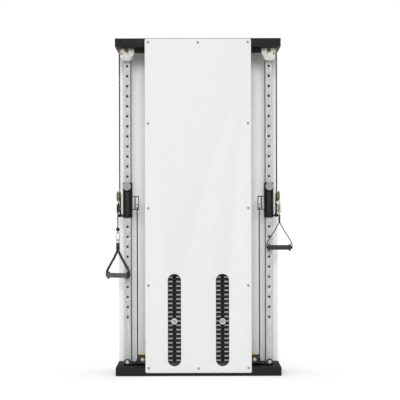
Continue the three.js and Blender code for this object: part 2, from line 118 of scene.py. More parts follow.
def soften(piece, size, steps=2, angle=30):
    applyModifier(piece, "BEVEL", width=size, segments=steps, limit_method="ANGLE",
                  angle_limit=math.radians(angle), use_clamp_overlap=True)
    smoothOver(piece)
    return piece


def place(piece, at=(0, 0, 0), turn=(0, 0, 0)):
    pick(piece)
    piece.location = at
    piece.rotation_euler = [math.radians(t) for t in turn]
    settle()
    return piece


def copyOf(piece, name):
    pick(piece)
    bpy.ops.object.duplicate(linked=False)
    made = bpy.context.object
    made.name = name
    return made


def gather(name, pieces):
    bpy.ops.object.select_all(action="DESELECT")
    for piece in pieces:
        piece.select_set(True)
    bpy.context.view_layer.objects.active = pieces[0]
    bpy.ops.object.join()
    pieces[0].name = name
    return pieces[0]


def rowsOf(piece, count, step):
    applyModifier(piece, "ARRAY", count=count, use_relative_offset=False,
                  use_constant_offset=True, constant_offset_displace=step)
    return piece


def cutAway(piece, *tools):
    for tool in tools:
        applyModifier(piece, "BOOLEAN", object=tool, operation="DIFFERENCE", solver="EXACT")
        bpy.data.objects.remove(tool)
    return piece


# starting shapes

def block(name, x, y, z):
    bpy.ops.object.select_all(action="DESELECT")
    middle = [(a + b) / 2 for a, b in (x, y, z)]
    bpy.ops.mesh.primitive_cube_add(size=1, location=middle)
    piece = bpy.context.object
    piece.name = name
    piece.scale = [abs(b - a) for a, b in (x, y, z)]
    settle()
    return piece


def bar(name, axis, radius, start, stop, across, sides=32):
    bpy.ops.object.select_all(action="DESELECT")
    middle = (start + stop) / 2
    at = {"x": (middle, *across), "y": (across[0], middle, across[1]), "z": (*across, middle)}[axis]
    turn = {"x": (0, math.pi / 2, 0), "y": (math.pi / 2, 0, 0), "z": (0, 0, 0)}[axis]
    bpy.ops.mesh.primitive_cylinder_add(vertices=sides, radius=radius, depth=abs(stop - start),
                                        location=at, rotation=turn)
    piece = bpy.context.object
    piece.name = name
    settle()
    return piece


def firstPoint(name, at):
    bpy.ops.object.select_all(action="DESELECT")
    bpy.ops.mesh.primitive_plane_add(size=0.001)
    piece = bpy.context.object
    piece.name = name
    openEdit(piece, "VERT")
    takeAll()
    bpy.ops.mesh.merge(type="CENTER")
    bpy.ops.transform.translate(value=at)
    return piece


def turned(name, profile, steps=36):
    # radius and height pairs, drawn point by point and spun round Z
    piece = firstPoint(name, (profile[0][0], 0, profile[0][1]))
    for (r0, z0), (r1, z1) in zip(profile, profile[1:]):
        bpy.ops.mesh.extrude_vertices_move(TRANSFORM_OT_translate={"value": (r1 - r0, 0, z1 - z0)})
    takeAll()
    bpy.ops.mesh.spin(steps=steps, angle=2 * math.pi, center=(0, 0, 0), axis=(0, 0, 1))
    takeAll()
    bpy.ops.mesh.remove_doubles(threshold=0.000002)
    bpy.ops.mesh.normals_make_consistent(inside=False)
    closeEdit()
    smoothOver(piece, 40)
    return piece


def cutPlate(name, outline, y):
    # an outline of X and Z points, filled and pulled out along Y
    piece = firstPoint(name, (outline[0][0], y[0], outline[0][1]))
    for (x0, z0), (x1, z1) in zip(outline, outline[1:]):
        bpy.ops.mesh.extrude_vertices_move(TRANSFORM_OT_translate={"value": (x1 - x0, 0, z1 - z0)})
    takeAll()
    bpy.ops.mesh.edge_face_add()
    bpy.ops.mesh.extrude_region_move(TRANSFORM_OT_translate={"value": (0, y[1] - y[0], 0)})
    closeOutward()
    return piece


def roundedSheet(name, x, z, y, corner, steps=8):
    # a flat sheet facing the front, its corners rounded before it is given its thickness
    bpy.ops.object.select_all(action="DESELECT")
    bpy.ops.mesh.primitive_plane_add(size=1, location=((x[0] + x[1]) / 2, y[0], (z[0] + z[1]) / 2),
                                     rotation=(math.pi / 2, 0, 0))
    piece = bpy.context.object
    piece.name = name
    piece.scale = (x[1] - x[0], z[1] - z[0], 1)
    settle()
    openEdit(piece, "VERT")
    takeAll()
    bpy.ops.mesh.bevel(offset=corner, segments=steps, affect="VERTICES")
    takeAll()
    bpy.ops.mesh.extrude_region_move(TRANSFORM_OT_translate={"value": (0, y[1] - y[0], 0)})
    takeAll()
    bpy.ops.mesh.remove_doubles(threshold=0.00001)
    bpy.ops.mesh.normals_make_consistent(inside=False)
    closeEdit()
    return piece


def wire(name, points, radius, closed=False, sides=3):
    bpy.ops.object.select_all(action="DESELECT")
    line = bpy.data.curves.new(name, "CURVE")
    line.dimensions = "3D"
    line.bevel_depth = radius
    line.bevel_resolution = sides
    line.use_fill_caps = True
    spline = line.splines.new("POLY")
    spline.points.add(len(points) - 1)
    for knot, point in zip(spline.points, points):
        knot.co = (*point, 1)
    spline.use_cyclic_u = closed
    piece = bpy.data.objects.new(name, line)
    bpy.context.scene.collection.objects.link(piece)
    pick(piece)
    bpy.ops.object.convert(target="MESH")
    piece = bpy.context.object
    smoothOver(piece, 50)
    return piece


def arc(x, z, y, radius, start, stop, steps=12):
    angles = [math.radians(start + (stop - start) * i / steps) for i in range(steps + 1)]
    return [(x + radius * math.cos(a), y, z + radius * math.sin(a)) for a in angles]


def flatStrap(name, points, width, thick):
    # an edge of the strap's width, pulled along its path, then given its thickness
    piece = firstPoint(name, (points[0][0], -width / 2, points[0][1]))
    bpy.ops.mesh.extrude_vertices_move(TRANSFORM_OT_translate={"value": (0, width, 0)})
    takeAll()
    for (x0, z0), (x1, z1) in zip(points, points[1:]):
        bpy.ops.mesh.extrude_region_move(TRANSFORM_OT_translate={"value": (x1 - x0, 0, z1 - z0)})
    closeEdit()
    runs = [0.0]
    for a, b in zip(points, points[1:]):
        runs.append(runs[-1] + math.dist(a, b))
    layers = piece.data.uv_layers
    layer = layers[0] if layers else layers.new(name="strapLength")
    for loop in piece.data.loops:
        spot = piece.data.vertices[loop.vertex_index].co
        nearest = min(range(len(points)), key=lambda i: math.dist(points[i], (spot.x, spot.z)))
        layer.data[loop.index].uv = (spot.y + width / 2, runs[nearest])
    applyModifier(piece, "SOLIDIFY", thickness=thick, offset=0)
    openEdit(piece)
    closeOutward()
    return soften(piece, thick * 0.3, 2, 50)


def numeral(text, height, x, y, z):
    bpy.ops.object.select_all(action="DESELECT")
    bpy.ops.object.text_add(location=(x, y, z), rotation=(math.pi / 2, 0, 0))
    piece = bpy.context.object
    piece.data.body = text
    piece.data.size = height * 1.35
    piece.data.align_x = "CENTER"
    piece.data.align_y = "CENTER"
    piece.data.extrude = 0.0001
    piece.data.resolution_u = 2
    bpy.ops.object.convert(target="MESH")
    piece = bpy.context.object
    settle()
    return piece


def domedBolt(name, radius, height, washer=0.0):
    profile = [(0, height), (radius * 0.35, height * 0.96), (radius * 0.65, height * 0.8),
               (radius * 0.88, height * 0.52), (radius * 0.98, height * 0.22), (radius, 0.0005)]
    profile += [(radius + washer, 0.0004), (radius + washer, -0.0015)] if washer else [(radius, 0)]
    profile.append((0, profile[-1][1]))
    return turned(name, profile, 28)


def buttonScrew(name, radius, height):
    return turned(name, [
        (0, height * 0.4), (radius * 0.38, height * 0.4), (radius * 0.42, height * 0.97),
        (radius * 0.6, height * 0.92), (radius * 0.82, height * 0.7), (radius * 0.96, height * 0.36),
        (radius, height * 0.1), (radius, 0), (0, 0)], 24)


def flute(knob, reach, halfCount, every, pull):
    # every few rows of points on the rim are drawn in towards the middle
    openEdit(knob, "VERT")
    takePoints(knob, lambda p: math.hypot(p.x, p.y) > reach
               and round(math.atan2(p.y, p.x) * halfCount / math.pi) % every == 0)
    bpy.ops.transform.resize(value=(pull, pull, 1), center_override=(0, 0, 0))
    closeEdit()


print("workbench ready")


# what several finishes share, as node groups

def newGroup(name, inputs, outputs):
    group = bpy.data.node_groups.new(name, "ShaderNodeTree")
    kinds = {"value": "NodeSocketFloat", "colour": "NodeSocketColor", "vector": "NodeSocketVector"}
    for label, kind, start in inputs:
        socket = group.interface.new_socket(name=label, in_out="INPUT", socket_type=kinds[kind])
        socket.default_value = start
    for label, kind in outputs:
        group.interface.new_socket(name=label, in_out="OUTPUT", socket_type=kinds[kind])
    return group, group.nodes.new("NodeGroupInput"), group.nodes.new("NodeGroupOutput")


def mathNode(tree, kind, *values, clamp=False):
    node = tree.nodes.new("ShaderNodeMath")
    node.operation = kind
    node.use_clamp = clamp
    for socket, value in zip(node.inputs, values):
        if isinstance(value, (int, float)):
            socket.default_value = value
        else:
            tree.links.new(value, socket)
    return node.outputs[0]


def blendColours(tree, factor, first, second, kind="MIX"):
    node = tree.nodes.new("ShaderNodeMix")
    node.data_type = "RGBA"
    node.blend_type = kind
    for name, value in (("Factor_Float", factor), ("A_Color", first), ("B_Color", second)):
        socket = next(s for s in node.inputs if s.identifier == name)
        if isinstance(value, (int, float)):
            socket.default_value = value
        elif isinstance(value, tuple):
            socket.default_value = (*value, 1)
        else:
            tree.links.new(value, socket)
    return next(s for s in node.outputs if s.identifier == "Result_Color")


def noise(tree, vector, scale, detail=4.0, rough=0.55):
    node = tree.nodes.new("ShaderNodeTexNoise")
    tree.links.new(vector, node.inputs["Vector"])
    if isinstance(scale, (int, float)):
        node.inputs["Scale"].default_value = scale
    else:
        tree.links.new(scale, node.inputs["Scale"])
    node.inputs["Detail"].default_value = detail
    node.inputs["Roughness"].default_value = rough
    return node.outputs["Fac"]


def stretched(tree, vector, stretch):
    node = tree.nodes.new("ShaderNodeVectorMath")
    node.operation = "MULTIPLY"
    tree.links.new(vector, node.inputs[0])
    if isinstance(stretch, tuple):
        node.inputs[1].default_value = stretch
    else:
        tree.links.new(stretch, node.inputs[1])
    return node.outputs[0]


def makeGrainGroup():
    group, start, end = newGroup("finishGrain", [
        ("Vector", "vector", (0, 0, 0)), ("Stretch", "vector", (1, 1, 1)), ("Scale", "value", 400.0)],
        [("Height", "value"), ("Cloud", "value")])
    spread = stretched(group, start.outputs["Vector"], start.outputs["Stretch"])
    group.links.new(noise(group, spread, start.outputs["Scale"], 3.0, 0.6), end.inputs["Height"])
    coarse = mathNode(group, "MULTIPLY", start.outputs["Scale"], 0.02)
    cloud = noise(group, spread, coarse, 4.0, 0.6)
    group.links.new(mathNode(group, "MULTIPLY_ADD", cloud, 2.2, -0.6, clamp=True), end.inputs["Cloud"])
    return group


def makeWearGroup():
    group, start, end = newGroup("edgeWear", [
        ("Vector", "vector", (0, 0, 0)), ("Amount", "value", 0.5), ("Scale", "value", 60.0)],
        [("Mask", "value")])
    shape = group.nodes.new("ShaderNodeNewGeometry")
    sharp = mathNode(group, "MULTIPLY_ADD", shape.outputs["Pointiness"], 9.0, -4.62, clamp=True)
    broken = mathNode(group, "MULTIPLY_ADD", noise(group, start.outputs["Vector"], start.outputs["Scale"]),
                      3.0, -0.9, clamp=True)
    both = mathNode(group, "MULTIPLY", sharp, broken)
    mask = mathNode(group, "MULTIPLY", both, start.outputs["Amount"], clamp=True)
    group.links.new(mask, end.inputs["Mask"])
    return group


def makeDustGroup():
    group, start, end = newGroup("restingDust", [
        ("Vector", "vector", (0, 0, 0)), ("Amount", "value", 0.2)], [("Mask", "value")])
    shape = group.nodes.new("ShaderNodeNewGeometry")
    split = group.nodes.new("ShaderNodeSeparateXYZ")
    group.links.new(shape.outputs["Normal"], split.inputs[0])
    upward = mathNode(group, "MULTIPLY_ADD", split.outputs["Z"], 1.6, -0.6, clamp=True)
    clouds = noise(group, start.outputs["Vector"], 14.0)
    patchy = mathNode(group, "MULTIPLY_ADD", clouds, 1.4, -0.2, clamp=True)
    both = mathNode(group, "MULTIPLY", upward, patchy)
    mask = mathNode(group, "MULTIPLY", both, start.outputs["Amount"], clamp=True)
    group.links.new(mask, end.inputs["Mask"])
    return group


def makeSpangleGroup():
    # the soft crystal patches and drawn streaks of zinc plate
    group, start, end = newGroup("zincSpangle", [
        ("Vector", "vector", (0, 0, 0)), ("Scale", "value", 90.0)], [("Patch", "value"), ("Streak", "value")])
    bent = group.nodes.new("ShaderNodeVectorMath")
    bent.operation = "MULTIPLY_ADD"
    wobble = group.nodes.new("ShaderNodeTexNoise")
    group.links.new(start.outputs["Vector"], wobble.inputs["Vector"])
    wobble.inputs["Scale"].default_value = 45.0
    group.links.new(wobble.outputs["Color"], bent.inputs[0])
    bent.inputs[1].default_value = (0.012, 0.012, 0.012)
    group.links.new(start.outputs["Vector"], bent.inputs[2])
    cells = group.nodes.new("ShaderNodeTexVoronoi")
    group.links.new(bent.outputs[0], cells.inputs["Vector"])
    group.links.new(start.outputs["Scale"], cells.inputs["Scale"])
    tone = group.nodes.new("ShaderNodeSeparateColor")
    group.links.new(cells.outputs["Color"], tone.inputs[0])
    group.links.new(tone.outputs[0], end.inputs["Patch"])
    drawn = stretched(group, start.outputs["Vector"], (260.0, 260.0, 6.0))
    group.links.new(noise(group, drawn, 1.0, 3.0), end.inputs["Streak"])
    return group


def makeWeaveGroup():
    # warp and weft of narrow webbing, from its own width and length
    group, start, end = newGroup("webbingWeave", [
        ("Vector", "vector", (0, 0, 0)), ("Rib", "value", 2400.0)],
        [("Height", "value"), ("Thread", "value")])
    split = group.nodes.new("ShaderNodeSeparateXYZ")
    group.links.new(start.outputs["Vector"], split.inputs[0])
    across = mathNode(group, "SINE", mathNode(group, "MULTIPLY", split.outputs["X"], start.outputs["Rib"]))
    along = mathNode(group, "SINE", mathNode(group, "MULTIPLY", split.outputs["Y"], start.outputs["Rib"]))
    crossed = mathNode(group, "MULTIPLY", across, along)
    height = mathNode(group, "MULTIPLY_ADD", crossed, 0.5, 0.5)
    group.links.new(height, end.inputs["Height"])
    group.links.new(mathNode(group, "MULTIPLY_ADD", across, 0.3, 0.5), end.inputs["Thread"])
    return group


grainGroup = makeGrainGroup()
wearGroup = makeWearGroup()
dustGroup = makeDustGroup()
spangleGroup = makeSpangleGroup()
weaveGroup = makeWeaveGroup()


def grey(level):
    return level, level, level


finishValues = {
    "blackPowder": {"colour": (0.006, 0.006, 0.0065), "second": (0.009, 0.009, 0.0095),
        "rough": (0.58, 0.7), "grain": 700, "bump": 0.12, "wear": 0.35, "worn": grey(0.05), "dust": 0.01,
        "specular": 0.12},
    "panelWhite": {"colour": (0.56, 0.56, 0.558), "second": grey(0.57), "rough": (0.55, 0.6),
        "grain": 900, "bump": 0.03, "wear": 0.4, "worn": grey(0.8), "dust": 0.03, "specular": 0.25},
    "sheetGrey": {"colour": (0.72, 0.72, 0.725), "second": grey(0.74), "rough": (0.6, 0.7), "grain": 600,
        "bump": 0.05, "wear": 0.2, "worn": grey(0.8), "dust": 0.04, "specular": 0.3},
    "carriageBlack": {"colour": (0.006, 0.006, 0.007), "second": (0.009, 0.009, 0.01),
        "rough": (0.46, 0.56), "grain": 650, "bump": 0.1, "wear": 0.3, "worn": (0.05, 0.05, 0.055),
        "dust": 0.01, "specular": 0.2},
    "plateBlack": {"colour": (0.009, 0.009, 0.01), "second": (0.016, 0.016, 0.017), "rough": (0.62, 0.74),
        "grain": 380, "bump": 0.25, "wear": 0.5, "worn": grey(0.07), "dust": 0.04, "specular": 0.15},
    "goldAnodised": {"colour": (0.235, 0.205, 0.075), "second": (0.175, 0.15, 0.052),
        "rough": (0.46, 0.56), "metal": 0.5, "grain": 500, "bump": 0.05, "wear": 0.7,
        "worn": (0.45, 0.4, 0.2), "dust": 0.04},
    # a darker, browner copy of the gold: painted shade
    "shadedGold": {"colour": (0.13, 0.095, 0.05), "second": (0.09, 0.066, 0.035), "rough": (0.5, 0.62),
        "metal": 0.4, "grain": 500, "bump": 0.05, "wear": 0.6, "worn": (0.28, 0.22, 0.13), "dust": 0.03},
    "brightSteel": {"colour": grey(0.4), "second": grey(0.32), "rough": (0.34, 0.44), "metal": 0.85,
        "grain": 450, "bump": 0.03, "wear": 0.4, "worn": grey(0.85), "dust": 0.03},
    "creamZinc": {"colour": (0.52, 0.52, 0.43), "second": (0.42, 0.42, 0.35), "rough": (0.42, 0.52),
        "metal": 0.4, "grain": 350, "bump": 0.06, "wear": 0.4, "worn": (0.8, 0.8, 0.76), "dust": 0.03},
    "knobGrey": {"colour": (0.19, 0.19, 0.195), "second": grey(0.235), "rough": (0.5, 0.62), "metal": 0.1,
        "grain": 800, "bump": 0.15, "wear": 0.7, "worn": grey(0.55), "dust": 0.04},
    "knobSilver": {"colour": grey(0.5), "second": grey(0.42), "rough": (0.5, 0.6), "metal": 0.15,
        "grain": 600, "bump": 0.06, "wear": 0.5, "worn": grey(0.85), "dust": 0.02},
    "darkRubber": {"colour": grey(0.01), "second": grey(0.016), "rough": (0.6, 0.75), "grain": 900,
        "bump": 0.25, "wear": 0.2, "worn": grey(0.04), "dust": 0.02, "specular": 0.2},
    "creamNylon": {"colour": (0.86, 0.85, 0.8), "second": (0.8, 0.79, 0.73), "rough": (0.4, 0.5),
        "grain": 500, "bump": 0.06, "wear": 0.2, "worn": (0.85, 0.84, 0.8), "dust": 0.03,
        "specular": 0.4},
    "cableBlack": {"colour": grey(0.002), "second": grey(0.004), "rough": (0.62, 0.72), "grain": 1400,
        "bump": 0.08, "wear": 0.0, "worn": grey(0.05), "dust": 0.0, "specular": 0.12},
    "gripGrey": {"colour": grey(0.068), "second": grey(0.09), "rough": (0.62, 0.8), "grain": 1100,
        "bump": 0.5, "wear": 0.3, "worn": grey(0.14), "dust": 0.01, "specular": 0.2},
    "gripDark": {"colour": (0.024, 0.024, 0.025), "second": grey(0.036), "rough": (0.62, 0.8),
        "grain": 1100, "bump": 0.5, "wear": 0.3, "worn": grey(0.08), "dust": 0.01, "specular": 0.2},
    "labelGrey": {"colour": grey(0.3), "second": grey(0.36), "rough": (0.4, 0.5), "grain": 500,
        "bump": 0.03, "wear": 0.3, "worn": grey(0.4), "dust": 0.02, "specular": 0.3},
    "ink": {"colour": grey(0.02), "second": grey(0.03), "rough": (0.5, 0.6), "grain": 500, "bump": 0.02,
        "wear": 0.0, "worn": grey(0.1), "dust": 0.0, "specular": 0.2},
    "columnInk": {"colour": (0.3, 0.31, 0.31), "second": (0.36, 0.37, 0.37), "rough": (0.45, 0.55),
        "grain": 500, "bump": 0.02, "wear": 0.0, "worn": grey(0.4), "dust": 0.0, "specular": 0.3},
    "bumperGrey": {"colour": grey(0.07), "second": grey(0.09), "rough": (0.6, 0.75), "grain": 600,
        "bump": 0.2, "wear": 0.2, "worn": grey(0.15), "dust": 0.08, "specular": 0.3},
}


dustColour = (0.45, 0.44, 0.42)


def startLook(name):
    look = bpy.data.materials.new(name)
    look.use_nodes = True
    tree = look.node_tree
    shader = tree.nodes["Principled BSDF"]
    return look, tree, shader


def useGroup(tree, group, **inputs):
    node = tree.nodes.new("ShaderNodeGroup")
    node.node_tree = group
    for label, value in inputs.items():
        if isinstance(value, (int, float, tuple)):
            node.inputs[label].default_value = value
        else:
            tree.links.new(value, node.inputs[label])
    return node


def addBump(tree, shader, height, strength, distance=0.0006):
    bump = tree.nodes.new("ShaderNodeBump")
    bump.inputs["Strength"].default_value = strength
    bump.inputs["Distance"].default_value = distance
    tree.links.new(height, bump.inputs["Height"])
    tree.links.new(bump.outputs["Normal"], shader.inputs["Normal"])


def makeLook(name, v):
    look, tree, shader = startLook(name)
    where = tree.nodes.new("ShaderNodeTexCoord").outputs["Object"]
    grain = useGroup(tree, grainGroup, Vector=where, Scale=float(v["grain"]))
    wear = useGroup(tree, wearGroup, Vector=where, Amount=v["wear"])
    dust = useGroup(tree, dustGroup, Vector=where, Amount=v["dust"])
    colour = blendColours(tree, grain.outputs["Cloud"], v["colour"], v["second"])
    colour = blendColours(tree, wear.outputs["Mask"], colour, v["worn"])
    colour = blendColours(tree, dust.outputs["Mask"], colour, dustColour)
    tree.links.new(colour, shader.inputs["Base Color"])
    low, high = v["rough"]
    rough = mathNode(tree, "MULTIPLY_ADD", grain.outputs["Cloud"], high - low, low)
    dusty = mathNode(tree, "MULTIPLY", dust.outputs["Mask"], 0.5)
    tree.links.new(mathNode(tree, "ADD", rough, dusty, clamp=True), shader.inputs["Roughness"])
    shader.inputs["Metallic"].default_value = v.get("metal", 0.0)
    shader.inputs["Specular IOR Level"].default_value = v.get("specular", 0.5)
    addBump(tree, shader, grain.outputs["Height"], v["bump"])
    return look


def makeZincLook(name, light, dark, rough, metal):
    look, tree, shader = startLook(name)
    where = tree.nodes.new("ShaderNodeTexCoord").outputs["Object"]
    spangle = useGroup(tree, spangleGroup, Vector=where, Scale=70.0)
    wear = useGroup(tree, wearGroup, Vector=where, Amount=0.4)
    dust = useGroup(tree, dustGroup, Vector=where, Amount=0.05)
    tone = mathNode(tree, "MULTIPLY_ADD", spangle.outputs["Patch"], 0.55,
                    mathNode(tree, "MULTIPLY", spangle.outputs["Streak"], 0.45), clamp=True)
    colour = blendColours(tree, tone, dark, light)
    colour = blendColours(tree, wear.outputs["Mask"], colour, (0.85, 0.86, 0.86))
    colour = blendColours(tree, dust.outputs["Mask"], colour, dustColour)
    tree.links.new(colour, shader.inputs["Base Color"])
    tree.links.new(mathNode(tree, "MULTIPLY_ADD", tone, -0.14, rough, clamp=True), shader.inputs["Roughness"])
    shader.inputs["Metallic"].default_value = metal
    addBump(tree, shader, spangle.outputs["Streak"], 0.08)
    return look


def makeWebbingLook():
    look, tree, shader = startLook("webbingBlack")
    along = tree.nodes.new("ShaderNodeTexCoord").outputs["UV"]
    weave = useGroup(tree, weaveGroup, Vector=along, Rib=2600.0)
    colour = blendColours(tree, weave.outputs["Height"], (0.006, 0.006, 0.006), (0.024, 0.024, 0.025))
    thread = weave.outputs["Thread"]
    tree.links.new(blendColours(tree, 0.4, colour, thread, "MULTIPLY"), shader.inputs["Base Color"])
    tree.links.new(mathNode(tree, "MULTIPLY_ADD", thread, 0.2, 0.62), shader.inputs["Roughness"])
    shader.inputs["Specular IOR Level"].default_value = 0.25
    shader.inputs["Sheen Weight"].default_value = 0.15
    addBump(tree, shader, weave.outputs["Height"], 0.6)
    return look


looks = {name: makeLook(name, values) for name, values in finishValues.items()}
looks["zincColumn"] = makeZincLook("zincColumn", (0.42, 0.43, 0.43), (0.34, 0.352, 0.352), 0.62, 0.15)
looks["zincBracket"] = makeZincLook("zincBracket", (0.5, 0.51, 0.46), (0.36, 0.37, 0.335), 0.56, 0.25)
looks["webbingBlack"] = makeWebbingLook()
print("finishes made:", len(looks))


# handing a piece over to its body

def wear(piece, look):
    piece.data.materials.clear()
    piece.data.materials.append(looks[look])


def paintFaces(piece, look, test):
    piece.data.materials.append(looks[look])
    index = len(piece.data.materials) - 1
    for face in piece.data.polygons:
        if test(face.center, face.normal):
            face.material_index = index


def handOver(piece, body, slot, *nodes):
    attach(piece, body)
    if nodes:
        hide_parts(*nodes)
    return piece


def mirrorAcross(piece):
    pick(piece)
    before = volumeOf(piece)
    piece.scale.x = -1
    settle()
    if volumeOf(piece) * before < 0:
        openEdit(piece)
        takeAll()
        bpy.ops.mesh.flip_normals()
        closeEdit()


def volumeOf(piece):
    shape = bmesh.new()
    shape.from_mesh(piece.data)
    volume = shape.calc_volume(signed=True)
    shape.free()
    return volume


def bodyOn(body, side):
    return body if body == "frame" else f"{body}_{side}"


def handOverPair(piece, body, slot, *nodes):
    # the piece is made on the right, and its mirror image goes on the left
    name = piece.name
    left = copyOf(piece, f"{name}Left")
    mirrorAcross(left)
    piece.name = f"{name}Right"
    for one, side in ((piece, "right"), (left, "left")):
        handOver(one, bodyOn(body, side), slot, *[f"{node}_{side}" for node in nodes])
    return piece, left


def handOverSide(piece, side, body, slot, *nodes):
    if side == "left":
        mirrorAcross(piece)
    piece.name = f"{piece.name}{side.capitalize()}"
    return handOver(piece, bodyOn(body, side), slot, *[f"{node}_{side}" for node in nodes])


def finishOne(piece, look, body, slot, *nodes):
    wear(piece, look)
    return handOver(piece, body, slot, *nodes)


def finishPair(piece, look, body, slot, *nodes):
    wear(piece, look)
    return handOverPair(piece, body, slot, *nodes)


def finishSide(piece, look, side, body, slot, *nodes):
    wear(piece, look)
    return handOverSide(piece, side, body, slot, *nodes)


# studio and camera

studio = { "sky": 0.32, "overhead": 2.05, "overheadSpread": 70, "key": 0.35, "keyTilt": 62,
    "keyTurn": -24, "keySpread": 40, "fill": 1.9, "fillTilt": 77, "fillTurn": 0, "fillSpread": 18,
    "floor": (0.93, 0.93, 0.93), "floorSize": 120, "cameraDistance": 9.263, "cameraHeight": 1.101,
    "lens": 128.3, "shift": (0.0045, 0.0075), "roll": 0.15, }


def makeStudio(v):
    scene = bpy.context.scene
    scene.view_settings.view_transform = "Standard"
    world = bpy.data.worlds.new("studioSky")
    scene.world = world
    world.use_nodes = True
    tree = world.node_tree
    light = tree.nodes["Background"]
    light.inputs["Color"].default_value = (1, 1, 1, 1)
    light.inputs["Strength"].default_value = v["sky"]
    seen = tree.nodes.new("ShaderNodeBackground")
    seen.inputs["Color"].default_value = (1, 1, 1, 1)
    seen.inputs["Strength"].default_value = 1.0
    path = tree.nodes.new("ShaderNodeLightPath")
    mix = tree.nodes.new("ShaderNodeMixShader")
    tree.links.new(path.outputs["Is Camera Ray"], mix.inputs[0])
    tree.links.new(light.outputs[0], mix.inputs[1])
    tree.links.new(seen.outputs[0], mix.inputs[2])
    tree.links.new(mix.outputs[0], tree.nodes["World Output"].inputs[0])
    bpy.ops.object.light_add(type="SUN", location=(0, 0, 6), rotation=(0, 0, 0))
    overhead = bpy.context.object
    overhead.name = "overheadSoftbox"
    overhead.data.energy = v["overhead"]
    overhead.data.angle = math.radians(v["overheadSpread"])
    for name in ("key", "fill"):
        turn = (math.radians(v[f"{name}Tilt"]), 0, math.radians(v[f"{name}Turn"]))
        bpy.ops.object.light_add(type="SUN", location=(-3, -6, 4), rotation=turn)
        softbox = bpy.context.object
        softbox.name = f"{name}Softbox"
        softbox.data.energy = v[name]
        softbox.data.angle = math.radians(v[f"{name}Spread"])
    size = v["floorSize"]
    bpy.ops.mesh.primitive_plane_add(size=size, location=(0, 0, -0.0005))
    floor = bpy.context.object
    floor.name = "studioFloor"
    look, tree, shader = startLook("paleFloor")
    where = tree.nodes.new("ShaderNodeTexCoord").outputs["Object"]
    cloud = useGroup(tree, grainGroup, Vector=where, Scale=60.0)
    soft = tuple(c * 0.985 for c in v["floor"])
    tree.links.new(blendColours(tree, cloud.outputs["Cloud"], v["floor"], soft), shader.inputs["Base Color"])
    shader.inputs["Roughness"].default_value = 0.9
    shader.inputs["Specular IOR Level"].default_value = 0.0
    floor.data.materials.append(look)
    bpy.ops.object.camera_add(location=(0, -v["cameraDistance"], v["cameraHeight"]),
                              rotation=(math.pi / 2, math.radians(v["roll"]), 0))
    camera = bpy.context.object
    camera.name = "studioCamera"
    camera.data.lens = v["lens"]
    camera.data.sensor_width = 36
    camera.data.shift_x, camera.data.shift_y = v["shift"]
    camera.data.clip_end = 200
    scene.camera = camera


makeStudio(studio)
print("studio and camera ready")


# the frame: base, top, panel and rear sheet

baseBeam = {"halfWidth": 0.528, "halfDepth": 0.19, "height": 0.054, "deck": 0.006,
    "hollow": (0.02, 0.408), "hollowDepth": 0.14, "edge": 0.0022}


def makeBase(v):
    w, d, h = v["halfWidth"], v["halfDepth"], v["height"]
    piece = block("baseFrame", (-w, w), (-d, d), (0, h))
    for sign in (1, -1):
        across = sorted(sign * x for x in v["hollow"])
        cutAway(piece, block("hollow", across, (-v["hollowDepth"], v["hollowDepth"]), (-0.01, h - v["deck"])))
    soften(piece, v["edge"], 3)
    finishOne(piece, "blackPowder", "frame", "frame_black", "base_frame")


def refined(node, name, edge, look, slot):
    # a clean copy of the CAD shape with its loose triangles merged and its edges rounded
    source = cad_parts[node]
    piece = bpy.data.objects.new(name, source.data.copy())
    bpy.context.scene.collection.objects.link(piece)
    openEdit(piece)
    takeAll()
    bpy.ops.mesh.remove_doubles(threshold=0.00001)
    bpy.ops.mesh.dissolve_limited(angle_limit=math.radians(1))
    closeEdit()
    soften(piece, edge, 2)
    wear(piece, look)
    return handOver(piece, "frame", slot, node)


makeBase(baseBeam)
refined("top_frame", "topFrame", 0.0012, "blackPowder", "frame_black")
refined("back_panel", "rearSheet", 0.0008, "sheetGrey", "back_grey")

panel = {"half": 0.338, "low": 0.020, "high": 2.147, "front": -0.1933, "back": -0.1903, "corner": 0.010,
    "slotX": 0.153, "slotHalf": 0.042, "slotLow": 0.062, "slotHigh": 0.650, "edge": 0.0009,
    "sheet": 0.003, "returnDepth": 0.022, "returnRun": (0.062, 2.090), "screwX": 0.318,
    "screwRows": (0.051, 0.576, 1.069, 1.608, 2.125), "middleScrews": (0.048, 2.122),
    "screw": (0.0084, 0.0026)}


def makePanel(v):
    sheet = roundedSheet("frontPanel", (-v["half"], v["half"]), (v["low"], v["high"]),
                         (v["back"], v["front"]), v["corner"])
    for sign in (1, -1):
        x = sign * v["slotX"]
        half = v["slotHalf"]
        slot = roundedSheet("slotCutter", (x - half, x + half), (v["slotLow"], v["slotHigh"]),
                            (v["back"] + 0.01, v["front"] - 0.01), half * 0.999, 20)
        cutAway(sheet, slot)
    soften(sheet, v["edge"], 2, 50)
    finishOne(sheet, "panelWhite", "frame", "panel_white", "front_panel")
    fold = block("panelFold", (v["half"] - v["sheet"], v["half"]),
                 (v["back"], v["back"] + v["returnDepth"]), v["returnRun"])
    soften(fold, 0.0007)
    finishPair(fold, "panelWhite", "frame", "panel_white")
    spots = [(sign * v["screwX"], z) for sign in (1, -1) for z in v["screwRows"]]
    spots += [(0, z) for z in v["middleScrews"]]
    screws = []
    pattern = buttonScrew("panelScrews", *v["screw"])
    for x, z in spots:
        screws.append(place(copyOf(pattern, "screw"), (x, v["front"], z), (90, 0, 0)))
    bpy.data.objects.remove(pattern)
    heads = gather("panelScrews", screws)
    finishOne(heads, "knobGrey", "frame", "steel")


makePanel(panel)

rear = {"face": 0.187, "x": (0.1, 0.3, 0.505), "rows": (0.085, 0.56, 1.075, 1.59, 2.067),
    "screw": (0.006, 0.0024)}


